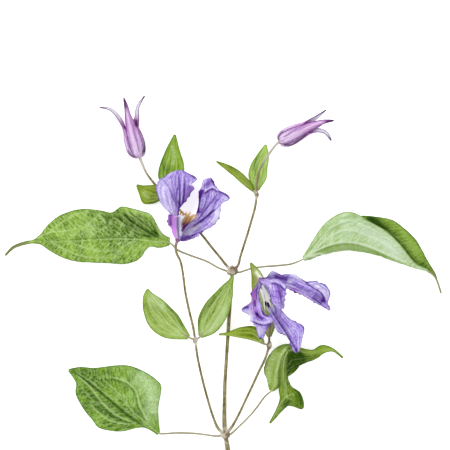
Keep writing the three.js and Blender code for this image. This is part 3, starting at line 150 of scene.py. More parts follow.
# Leaves. Each blade has a spine and two halves, with widths and angles along them. Its rows, 8 where
# none are given, are the solid model's; up is where its face looks, straight up where none is given.
LEAVES = {
  "leaf_left": {
    "rows": 20,
    "stalk": [NODE_B, [1.6, 2.8, 11.8], [-3.4, 4.8, 11.6], [-10, 8.4, 11.1], [-20, 12, 10.3],
      [-27, 15, 9.6]],
    "spine": [[-31.8, 19.2, 9], [-44, 20.6, 8], [-55, 21.5, 6.4], [-66, 21.6, 4.6], [-77, 21, 2.8],
      [-88, 20.3, 1.3], [-99, 20, 0.45], [-110, 19.8, 0.5], [-118, 19.3, 1.2], [-126, 16.6, 2],
      [-131.2, 11.6, 2.4]],
    "left": {
      "width": [1.5, 3.6, 3.8, 11.7, 14.4, 15.3, 14.7, 14, 13.6, 13.1, 12.4, 10.9, 8.7, 5.3, 1.8, 0.8,
        0.8, 0.8, 0.7, 0.6, 0.5],
      "lift": [40, 20, 6, 4, 6, 8, 8, 6, 0, 0, 0],
      "curl": [-30, -40, -24, -18, -14, -10, -6, 0, 0, 0, 0],
      "ruffle": [1.2, 3, 0.2],
    },
    "right": {
      "width": [3.2, 5.6, 15.3, 17.3, 18.6, 19.3, 15.9, 17.3, 18.5, 19.1, 18.7, 17.3, 15.1, 10.9, 4.6,
        1.4, 1.1, 1, 0.9, 0.7, 0.5],
      "lift": [20, 16, 12, 8, 8, 8, 6, 4, 0, 0, 0],
      "curl": [-20, -18, -12, -14, -16, -14, -8, 0, 0, 0, 0],
      "folds": [[0, 0.3, 0.42, 0.8, -3, 0.2], [0.05, 0.9, 0.35, 1.1, 1.4, 0.25]],
      "ruffle": [1.2, 3, 0.6],
    },
  },
  "leaf_right": {
    "rows": 16,
    "stalk": [NODE_B, [9.6, 1.8, 12], [13, 2.8, 11.5], [18, 4.3, 10.9], [25, 5.2, 10.6], [33, 5.8, 10.5],
      [41, 6.8, 10.3]],
    "spine": [[48, 9.6, 10], [57, 15, 10.2], [66, 18.8, 10], [74.4, 19.8, 9.6], [83, 18.2, 8.8],
      [92, 15, 7.8], [101, 11, 6.8], [109, 7.6, 5.4], [116, 5, 4], [122.6, 2.6, 2.8], [127.8, -1.6, 2],
      [131.4, -11.2, 1.2]],
    "up": [[0, -0.4, -0.9], [0, 0.2, -0.95], [0, 0.3, -0.95], [0, 0.35, -0.92]],
    "left": {
      "width": [1.5, 12, 24, 27.4, 29.4, 25.2, 20.4, 16, 11.4, 5.3, 1.4, 0.5],
      "curl": [60, 120, 165, 172, 172, 172, 172, 172, 170, 170, 150, 60],
      "bend": [[0.15, 0.11, 0.05, 0.03, 0.03], [0.36, 0.32, 0.22, 0.2, 0.2]],
      "sweep": [0, 4, 10, 13, 13, 11, 9, 5, 2, 0, 0, 0],
    },
    "right": {
      "width": [1.5, 7.6, 14, 18, 14.6, 12.8, 9.4, 5, 1.4, 0.8, 0.6, 0.5],
      "curl": [20, 20, 14, 10, 10, 10, 10, 10, 0, 0, 0, 0],
      "ruffle": [0.8, 3, 0],
    },
  },
  "leaf_low_left": {
    "rows": 14,
    "stalk": [NODE_A, [-4, -97, 3.1], [-10, -96.2, 3.4], [-18, -95.3, 3.5], [-28, -95.1, 3.4]],
    "spine": [[-38.6, -95.4, 3.2], [-46.2, -89.3, 2.7], [-52.4, -83.8, 2.1], [-58.8, -77.4, 1.5],
      [-65, -71.6, 1.1], [-71.4, -67, 1], [-79.8, -61.5, 1.6], [-86, -58.1, 2.4], [-93, -57.2, 3.6]],
    "left": {
      "width": [1.2, 3.3, 14.6, 21.2, 21, 19.5, 15.2, 8.8, 0.7],
      "lift": [24, 24, 24, 22, 20, 18, 18, 16, 10],
      "curl": [0, -20, -26, -22, -18, -14, -10, 0, 0],
      "ruffle": [1, 3, 0.1],
    },
    "right": {
      "width": [1.2, 12, 23, 23.8, 20.7, 16, 6.8, 3.2, 0.5],
      "lift": [30, 30, 30, 28, 24, 20, 18, 14, 10],
      "curl": [-10, -36, -46, -42, -30, -14, 0, 10, 10],
      "ruffle": [1, 3, 0.55],
    },
  },
  "leaf_low_right": {
    "rows": 14,
    "stalk": [NODE_A, [4.6, -95.8, 3.1], [9, -91.8, 3.8], [15, -85.8, 4.8], [20, -79.8, 5.8],
      [25, -73, 6.6]],
    "spine": [[29, -69.4, 7.2], [31.8, -64, 8.6], [32.8, -57.8, 10], [34.6, -51.6, 11.2],
      [38.6, -45.4, 11.6], [43.6, -44.4, 10.4], [49, -46.2, 8.6], [54.4, -46.8, 6.8], [60, -44.8, 5],
      [66.4, -45.2, 3.4], [72.2, -50, 2]],
    "up": [[0, 0, 1], [0, 0, 1], [0, 0, 1], [0, 0, 1], [0.3, 0, 1], [0.3, -0.2, 0.9], [0.2, -0.4, 0.8],
      [0, -0.4, 0.9], [0, -0.2, 1], [0, 0, 1], [0, 0, 1]],
    "left": {
      "width": [1.6, 7, 10, 10, 6, 2.2, 2, 2.2, 2.8, 0.8, 0.5],
      "lift": [10, -10, -16, -20, -24, -20, -20, -10, 0, 0, 0],
      "curl": [-20, -30, -36, -40, -40, -30, 0, 0, 0, 0, 0],
    },
    "right": {
      "width": [1, 5, 11, 14.4, 17.4, 20, 11, 5.6, 2.6, 1, 0.5],
      "lift": [-10, -24, -32, -34, -36, -28, -14, -6, 0, 0, 0],
      "curl": [-10, -20, -20, -10, 0, 10, 10, 0, 0, 0, 0],
      "ruffle": [0.8, 2, 0.3],
    },
    "lobes": [{
      "rows": 14,
      "spine": [[38.4, -45.6, 11.8], [36.6, -50, 11.6], [35.8, -56, 10.8], [36, -62, 9.6],
        [36.8, -68, 8], [36.4, -75, 6], [33.4, -82, 3.6], [28.2, -89.4, 1.6]],
      "up": [[0.2, 0, 1], [0.4, 0, 0.9], [0.5, 0, 0.85], [0.5, 0, 0.85], [0.3, 0, 0.9], [0, -0.2, 0.95],
        [0, -0.2, 1], [0, 0, 1]],
      "left": {
        "width": [1, 1.8, 2.5, 2.8, 3.1, 3.2, 3.4, 3.8, 5.2, 10.6, 13.2, 4.8, 1.6, 1, 0.5],
        "lift": [0, 0, 0, 0, -10, -14, -6, 0],
        "sweep": [0, 0, 0, 0, 0, 0, 0, 0, 0, 0.6, 4.2, -2, 0, 0, 0],
      },
      "right": {
        "width": [1, 2, 2.4, 2.8, 3.4, 2.4, 1.8, 0.5],
        "lift": [-10, -10, -10, -10, -10, 0, 0, 0],
      },
    }],
  },
  "leaf_branch_left_outer": {
    "stalk": [NODE_LEFT],
    "spine": [[-20.4, -37, 11.2], [-30, -31, 10.8], [-36, -25, 10], [-41, -18, 9.2], [-44, -12, 8.8],
      [-45.3, -8.2, 8.6]],
    "left": { "width": [1.4, 7.8, 9.7, 7.6, 4.2, 0.5], "lift": 14, "curl": [0, -14, -16, -10, 0, 0],
      "ruffle": [0.7, 2, 0] },
    "right": { "width": [1.4, 7.2, 7.7, 6.1, 2.8, 0.5], "lift": 20, "curl": [0, -20, -20, -10, 0, 0],
      "ruffle": [0.7, 2, 0.5] },
  },
  "leaf_branch_left_inner": {
    "stalk": [NODE_LEFT],
    "spine": [[-13.6, -36.6, 11.8], [-9, -30, 12.6], [-4, -20, 13.8], [1, -10, 15.2], [4.4, -3, 16.4],
      [5.8, 0.8, 16.8]],
    "left": { "width": [1.3, 6.8, 7.4, 4.2, 1.1, 0.5], "lift": 12, "curl": [0, -12, -14, -8, 0, 0],
      "ruffle": [0.6, 2, 0.3] },
    "right": { "width": [1.3, 6.2, 7.7, 5.4, 2.1, 0.5], "lift": 16, "curl": [0, -18, -18, -10, 0, 0],
      "ruffle": [0.6, 2, 0.8] },
  },
  "leaf_branch_right_outer": {
    "stalk": [NODE_RIGHT],
    "spine": [[27.8, -37, 7.6], [27, -29, 7], [24.6, -20, 7.6], [22, -9, 9.6], [19.2, 0.4, 12.4],
      [16.4, 7.6, 13.6]],
    "left": { "width": [1.2, 4.6, 5.6, 5, 2.4, 0.5], "lift": 20, "curl": -16, "ruffle": [0.5, 2, 0.3] },
    "right": { "width": [1.2, 4.8, 5.8, 5.4, 4, 0.5], "lift": 24, "curl": -20, "ruffle": [0.5, 2, 0.8] },
  },
  "leaf_branch_right_inner": {
    "stalk": [NODE_RIGHT],
    "spine": [[24.4, -41, 9.8], [18, -38.4, 10.8], [10.4, -36.6, 11.4], [3, -35.6, 11.8],
      [-2.4, -35.4, 11.8]],
    "up": [[0, 0.1, 1]],
    "left": { "width": [1.2, 3.2, 2.8, 1.2, 0.5], "lift": -74, "curl": -10 },
    "right": { "width": [1.2, 7.6, 5.8, 1.8, 0.5], "lift": 8, "curl": -20, "ruffle": [0.4, 2, 0] },
  },
  "leaf_bud_left_upper": {
    "stalk": [NODE_C],
    "spine": [[-33.8, 50.6, 3.2], [-32.5, 57.5, 2.4], [-31.2, 66, 1.6], [-30.4, 75, 1.2], [-29, 84.6, 1.2]],
    "left": { "width": [1.4, 6.6, 6.7, 4, 0.5], "lift": 16, "curl": -10, "ruffle": [0.5, 2, 0] },
    "right": { "width": [1.4, 8.2, 7.9, 4.5, 0.5], "lift": 20, "curl": -14, "ruffle": [0.5, 2, 0.5] },
  },
  "leaf_bud_left_side": {
    "stalk": [NODE_C],
    "spine": [[-37.4, 48, 3], [-41, 48.8, 2.4], [-45, 50.4, 1.8], [-49, 52.4, 1.4], [-52, 54.2, 1.8]],
    "left": { "width": [3.4, 6.2, 7.8, 3.6, 0.6], "lift": 4, "curl": -8 },
    "right": { "width": [1.4, 6, 4.6, 2, 0.6], "lift": 30, "curl": 10 },
  },
  "leaf_bud_right_side": {
    "stalk": [NODE_D],
    "spine": [[18.2, 50.2, 9.6], [14.4, 54.8, 8.4], [8.4, 60.2, 6], [2.4, 64.4, 3.4], [-4, 68.3, 1]],
    "left": { "width": [1.2, 3.6, 3.4, 2.3, 0.5], "lift": 58, "curl": -10 },
    "right": { "width": [1.2, 3.4, 4, 2.8, 0.5], "lift": 54, "curl": -10 },
  },
  "leaf_bud_right_upper": {
    "stalk": [NODE_D],
    "spine": [[20.2, 50.6, 7.6], [20.4, 58, 5.6], [21.4, 65.4, 4.6], [23.6, 72.4, 4.2], [25.8, 78.4, 4.4]],
    "left": { "width": [1.3, 5.2, 4.8, 2.6, 0.5], "lift": 18, "curl": -8, "ruffle": [0.4, 2, 0] },
    "right": { "width": [1.3, 5.8, 5.5, 4.2, 0.5], "lift": 20, "curl": -10, "ruffle": [0.4, 2, 0.5] },
  },
}

# Tepals, given like the leaves
TEPALS = {
  # the broad one at the back left, seen from inside
  "flower_left_tepal_1": {
    "rows": 14,
    "spine": [[-27.4, 22.8, 14.8], [-28.2, 30, 12.4], [-28.2, 38, 11.2], [-27.6, 46, 10.8],
      [-27, 53, 10.6], [-26.4, 58.6, 9.8], [-26, 62.6, 8.4]],
    "up": [[0.2, 0.1, 1], [0.1, 0, 1], [0, 0, 1]],
    "left": {
      "width": [2.2, 2, 1.8, 2.1, 3.4, 6.6, 9.7, 11.4, 12.7, 12.9, 12.2, 9, 8.2, 5.8, 3.2],
      "lift": [20, 16, 10, 8, 4, 0, 0],
      "curl": [20, 10, 0, -10, -20, -20, 0],
      "sweep": [0, 0, 0, 0, 0, 0, -1],
      "ruffle": [1.6, 4, 0.2],
    },
    "right": {
      "width": [2.2, 2, 1.8, 1.7, 1.7, 3, 5, 6.2, 8.5, 10.6, 8.4, 11.2, 8.4, 4.6, 3],
      "lift": [20, 26, 34, 30, 24, 10, 0],
      "curl": [20, 10, 10, 0, -10, -10, 0],
      "sweep": [0, 0, 0, 0, 0.5, 1, 0],
      "ruffle": [1.8, 4, 0.7],
    },
  },
  # the large one at the back right, with a rolled margin
  "flower_left_tepal_2": {
    "rows": 14,
    "spine": [[-25.2, 23, 15.4], [-20, 27.4, 13.4], [-14, 33, 12], [-9.6, 39.5, 11.8], [-7.2, 46, 12.4],
      [-7, 52, 12.4], [-8.6, 58, 9]],
    "up": [[-0.1, 0, 1], [0, 0, 1], [0, 0, 1]],
    "left": {
      "width": [2.2, 3.4, 4.2, 6.6, 8.3, 7, 3.4],
      "lift": [20, 16, 10, 6, 4, 0, 0],
      "curl": [20, 20, 16, 10, 6, 0, 0],
      "roll": [0, 20, 70, 90, 80, 20, 0],
    },
    "right": {
      "width": [2.2, 3.4, 4.8, 5.8, 6.6, 8.2, 9, 8.3, 7.5, 7.4, 11.2, 5, 2.8, 2.4, 1.4],
      "lift": [20, 10, 6, 4, 4, 0, 0],
      "curl": [20, 0, -16, -20, -16, 0, 0],
      "ruffle": [1.4, 4, 0.35],
      "folds": [[0.1, 0.3, 0.8, 0.5, -1, 0.2]],
    },
  },
  # the one at the front left, coming towards the viewer
  "flower_left_tepal_3": {
    "rows": 10,
    "spine": [[-27, 22.2, 18.4], [-27.6, 27, 21], [-27.8, 31.4, 25.4], [-27.6, 34, 31.4],
      [-27.2, 35, 38], [-26.8, 34.2, 45]],
    "up": [[0.2, 0.3, -0.9], [0, 0.4, -0.9], [0, 0.7, -0.7], [0, 1, -0.3], [0, 1, 0], [0, 1, 0.2]],
    "left": { "width": [2.2, 4.4, 5.6, 5.6, 4, 0.6], "lift": 10, "curl": [30, 30, 20, 10, 0, 0],
      "ruffle": [0.8, 2, 0.4] },
    "right": { "width": [2.2, 3.8, 4.9, 4.6, 3.2, 0.6], "lift": 10, "curl": [30, 30, 24, 20, 0, 0],
      "ruffle": [0.8, 2, 0] },
  },
  # the one at the front right, folded like a trough
  "flower_left_tepal_4": {
    "rows": 10,
    "spine": [[-25.4, 20.9, 18.6], [-22.8, 20.8, 22], [-20.4, 21.4, 27], [-18.8, 22.2, 33],
      [-17.8, 23, 39], [-17, 22.4, 44.6]],
    "up": [[-0.3, 0.5, -0.8], [-0.3, 0.8, -0.5], [-0.3, 0.95, -0.2], [-0.1, 1, 0], [0, 1, 0.1],
      [0, 1, 0.2]],
    "left": { "width": [2.2, 4, 5, 5.2, 4, 0.6], "lift": 16, "curl": [40, 40, 30, 20, 0, 0],
      "ruffle": [0.8, 2, 0] },
    "right": { "width": [2.2, 4.2, 5.4, 5.4, 4.2, 0.6], "lift": 16, "curl": [40, 40, 30, 20, 0, 0],
      "ruffle": [0.8, 2, 0.5] },
  },
  # the arching one at the upper right
  "flower_right_tepal_1": {
    "rows": 14,
    "spine": [[23.6, -2, 19.6], [30, -1.2, 21.4], [37, -2.4, 22.6], [44, -5.5, 22.4], [50.5, -9, 21.4],
      [56.5, -13, 19.8], [61, -17, 17.8], [63.4, -20.6, 16.4]],
    "up": [[0.1, -0.45, 0.9]],
    "left": {
      "width": [2.2, 2, 6.4, 2.8, 5, 6.2, 5.2, 4.8, 7.4, 8.5, 8.6, 6.8, 1.6, 1.1, 0.6],
      "lift": [30, 20, 16, 14, 14, 14, 10, 0],
      "curl": [20, 10, 0, -20, -34, -40, -30, 0],
      "ruffle": [1.2, 3, 0.1],
      "folds": [[0.45, 0.3, 0.95, 0.7, 1.2, 0.2]],
    },
    "right": {
      "width": [2.2, 3, 4, 4.8, 3.9, 3.8, 2.5, 0.6],
      "lift": [30, 20, 16, 14, 12, 10, 10, 0],
      "curl": [20, 10, 0, -10, -10, 0, 0, 0],
      "ruffle": [0.8, 3, 0.4],
    },
  },
  # the one in front, arching over and hanging down
  "flower_right_tepal_2": {
    "rows": 10,
    "spine": [[23, -2.6, 20.4], [26.6, -2.2, 26.6], [30.8, -3.6, 31.4], [32.8, -8.4, 34],
      [33.8, -14, 34], [34.4, -19, 32]],
    "up": [[0.2, -0.9, -0.1], [0, -0.9, -0.4], [0, -0.6, -0.8], [0, -0.3, -0.95], [0, 0, -1], [0, 0.2, -1]],
    "left": { "width": [2.2, 4.2, 5, 6.2, 5.8, 1.6], "lift": 10, "curl": [30, 30, 30, 30, 20, 0],
      "ruffle": [0.8, 2, 0] },
    "right": { "width": [2.2, 4.4, 5.8, 4.4, 2.6, 1.4], "lift": 10, "curl": [30, 30, 30, 30, 20, 0],
      "ruffle": [0.8, 2, 0.5] },
  },
  # the long one at the lower right
  "flower_right_tepal_3": {
    "rows": 14,
    "spine": [[23, -4.6, 18.6], [27, -11, 18], [30.6, -18.5, 18.2], [34.5, -26, 18], [39, -33, 17.4],
      [42.2, -39.6, 16.6], [44, -45.8, 15.4]],
    "left": {
      "width": [2, 2.3, 2.6, 3, 3.2, 3.3, 3.8, 5.4, 8.3, 8.5, 5.3, 2.9, 0.9],
      "lift": [30, 24, 20, 20, 16, 10, 0],
      "curl": [20, 10, 0, -10, -20, -10, 0],
      "ruffle": [1.2, 3, 0.2],
    },
    "right": {
      "width": [2, 2.3, 2.6, 3.2, 4, 5, 5.7, 5.9, 4, 2.2, 2.7, 2.5, 1],
      "lift": [30, 24, 20, 20, 16, 10, 0],
      "curl": [20, 10, 0, -10, -20, -10, 0],
      "ruffle": [1.2, 3, 0.7],
    },
  },
  # the curled one at the left
  "flower_right_tepal_4": {
    "rows": 14,
    "spine": [[21.2, -4, 20], [18.9, -10, 21.4], [18.2, -16, 23], [18.8, -22, 23.6], [20.6, -27.6, 23.4],
      [22, -32.8, 22], [22.4, -37.4, 20.2]],
    "up": [[0.5, -0.2, 0.85], [0.5, 0, 0.85], [0.4, 0, 0.9], [0.2, 0, 1], [0, 0, 1], [0, 0, 1], [0, 0, 1]],
    "left": {
      "width": [2.2, 2.2, 2.4, 3.2, 4.2, 4.6, 5, 5.6, 9.6, 6.4, 3.4, 2.4, 0.8],
      "lift": [30, 20, 10, 10, 10, 0, 0],
      "curl": [30, 20, 20, 10, -10, 0, 0],
      "ruffle": [1.2, 3, 0],
    },
    "right": {
      "width": [2.2, 1.9, 3, 3.6, 2.8, 7.4, 4, 3.2, 2.6, 2.4, 2.2, 1.7, 0.8],
      "lift": [30, 20, 6, 0, 0, 0, 0],
      "curl": [20, 10, 0, -20, -40, -20, 0],
      "ruffle": [1.2, 3, 0.4],
    },
  },
}

STAMENS = {
  "flower_left_stamens": {
    "base": FLOWER_LEFT,
    "axis": FLOWER_LEFT_AXIS,
    "seed": 11,
    # rows of tips, from one place to another, with how many
    "tips": [[[-25.5, 38.5, 17], [-15, 36.5, 17], 5], [[-25, 37.5, 21], [-14.5, 35, 22], 6],
      [[-24, 35, 25], [-16, 33, 25], 4]],
  },
  "flower_right_stamens": {
    "base": FLOWER_RIGHT,
    "axis": FLOWER_RIGHT_AXIS,
    "seed": 23,
    "tips": [[[25, -17.4, 22], [29.8, -15, 23], 4], [[26, -19, 25], [30, -17, 26], 4]],
  },
}

# Buds: a swollen body of four keeled tepals edge to edge, whose free tips curl back; open tells
# how far the inner face of a free tip is turned to look up
BUDS = {
  "bud_left": {
    "axis": [BUD_LEFT, [-51.6, 74, 7.7], [-52.7, 78.4, 7.8], [-54, 83, 8], [-55, 87, 8.1],
      [-56, 90.6, 8.2]],
    "radii": [3.2, 5.1, 5.7, 5.4, 4.7, 3.1],
    "tips": [
      { "turn": 100, "open": 0.9, "points": [[-61.9, 93, 9.6], [-66.9, 98.7, 10.8], [-73.4, 100.2, 11]] },
      { "turn": 190, "open": 0, "points": [[-56.6, 95, 12.4], [-57.6, 100.6, 13.4], [-59, 105.6, 14]] },
      { "turn": 280, "open": 0.9, "points": [[-51.2, 95, 8.8], [-50.6, 101, 9.4], [-46.7, 107.3, 9.8]] },
      { "turn": 10, "open": 0, "points": [[-53, 91, 4], [-52.9, 92.6, 2.8], [-53.4, 94, 1.6]] },
    ],
  },
  "bud_right": {
    "axis": [BUD_RIGHT, [36.6, 81.6, 9.1], [40.6, 83.4, 9.3], [44.6, 85.3, 9.6], [48.4, 87.1, 9.8],
      [51.6, 88.6, 10]],
    "radii": [3.2, 4.9, 5.3, 4.8, 4.1, 2.8],
    "tips": [
      { "turn": 90, "open": 0.9, "points": [[53.2, 93, 9.4], [57.2, 95.6, 9.8], [61.5, 98.7, 10]] },
      { "turn": 180, "open": 0, "points": [[55.6, 90.2, 12.6], [60.6, 91.6, 13.4], [66, 92.2, 14]] },
      { "turn": 270, "open": 0.9, "points": [[55.6, 86.3, 9.8], [61.2, 85.2, 10.6], [64.6, 80.4, 11]] },
      { "turn": 0, "open": 0, "points": [[54.6, 89, 6], [57, 89.8, 4.8], [59.4, 90.4, 3.8]] },
    ],
  },
}

# Veins of a leaf's half: for each, its place across the half and its strength, evenly spaced along it
VEINS = [
    ([0, 0.28, 0.4, 0.44, 0.44, 0.42, 0.36, 0.3, 0.3], [1, 1, 1, 0.9, 0.8, 0.6, 0.4, 0.1, 0]),
    ([0, 0.52, 0.7, 0.75, 0.76, 0.74, 0.66, 0.6, 0.6], [0.9, 0.9, 0.8, 0.6, 0.4, 0.2, 0, 0, 0]),
]

# Colours of the upper and the under face: dark, middle, light and vein; then how mottled they are,
# and whether their streaks run lengthways
LEAF_COLOURS = {
    "leaf_left": ("5a7a20 8fb24c aed06e cce49c", "8fae66 a9c684 c3dba4 d6e6bd", 0.3, False),
    "leaf_right": ("4f6a1c 7c9a45 9ab85e a9c474", "9ab870 b7d498 d2e7c3 e2efd2", 0.22, False),
    "leaf_low_left": ("52721a 7ca23e a0c670 cbe4a0", "8dab68 a6c386 bdd6a2 d2e3ba", 0.2, False),
    "leaf_low_right": ("587618 7f9c34 a3be56 c4d88c", "7a8f4a 96ab64 b2c584 c8d8a0", 0.14, True),
    "leaf_branch": ("728e2c 94b24e b4ce7c d2e4a8", "93ab5c aac478 c3d99a d9e6b8", 0.2, True),
    "leaf_bud_left": ("5e8018 86a83c a6c664 c8de94", "83a04a 9ab868 b4ce88 d0e0aa", 0.12, True),
    "leaf_bud_right": ("80a42e aace5e c6e486 def0b4", "93ad5a aac676 c2da94 d8e6b4", 0.12, True),
    "young_leaf": ("6a8010 8ea834 aec45c ccd888", "8f9c44 a8b45c bec880 d2da9c", 0.1, True),
    "pale_leaf": ("7c9028 a6b850 ccd68c e8ecc4", "98a44c b2bc6c ccd494 e0e6b8", 0.1, True),
}

# Each leaf's colours, the depth of its quilting and the size of its cells in mm, and how much of its
# arched veins shows
SMALL_LEAF = {"seed": 9, "quilt": 0.18, "cell": 2.8, "arcs": 0.8}
LEAF_LOOKS = {
    "leaf_left": {"colours": "leaf_left", "seed": 1, "quilt": 0.5, "cell": 3.4, "arcs": 0.15},
    "leaf_right": {"colours": "leaf_right", "seed": 2, "quilt": 0.25, "cell": 4, "arcs": 1},
    "leaf_low_left": {"colours": "leaf_low_left", "seed": 3, "quilt": 0.3, "cell": 3.6, "arcs": 0.1},
    "leaf_low_right": {"colours": "leaf_low_right", "seed": 4, "quilt": 0.25, "cell": 3.6, "arcs": 0.4},
    "leaf_branch_left_outer": {"colours": "leaf_branch", **SMALL_LEAF},
    "leaf_branch_left_inner": {"colours": "leaf_branch", **SMALL_LEAF},
    "leaf_branch_right_outer": {"colours": "pale_leaf", **SMALL_LEAF},
    "leaf_branch_right_inner": {"colours": "young_leaf", **SMALL_LEAF},
    "leaf_bud_left_upper": {"colours": "leaf_bud_left", **SMALL_LEAF},
    "leaf_bud_left_side": {"colours": "young_leaf", **SMALL_LEAF},
    "leaf_bud_right_side": {"colours": "young_leaf", **SMALL_LEAF},
    "leaf_bud_right_upper": {"colours": "leaf_bud_right", **SMALL_LEAF},
}
FIRST_TEPAL_SEED = 21

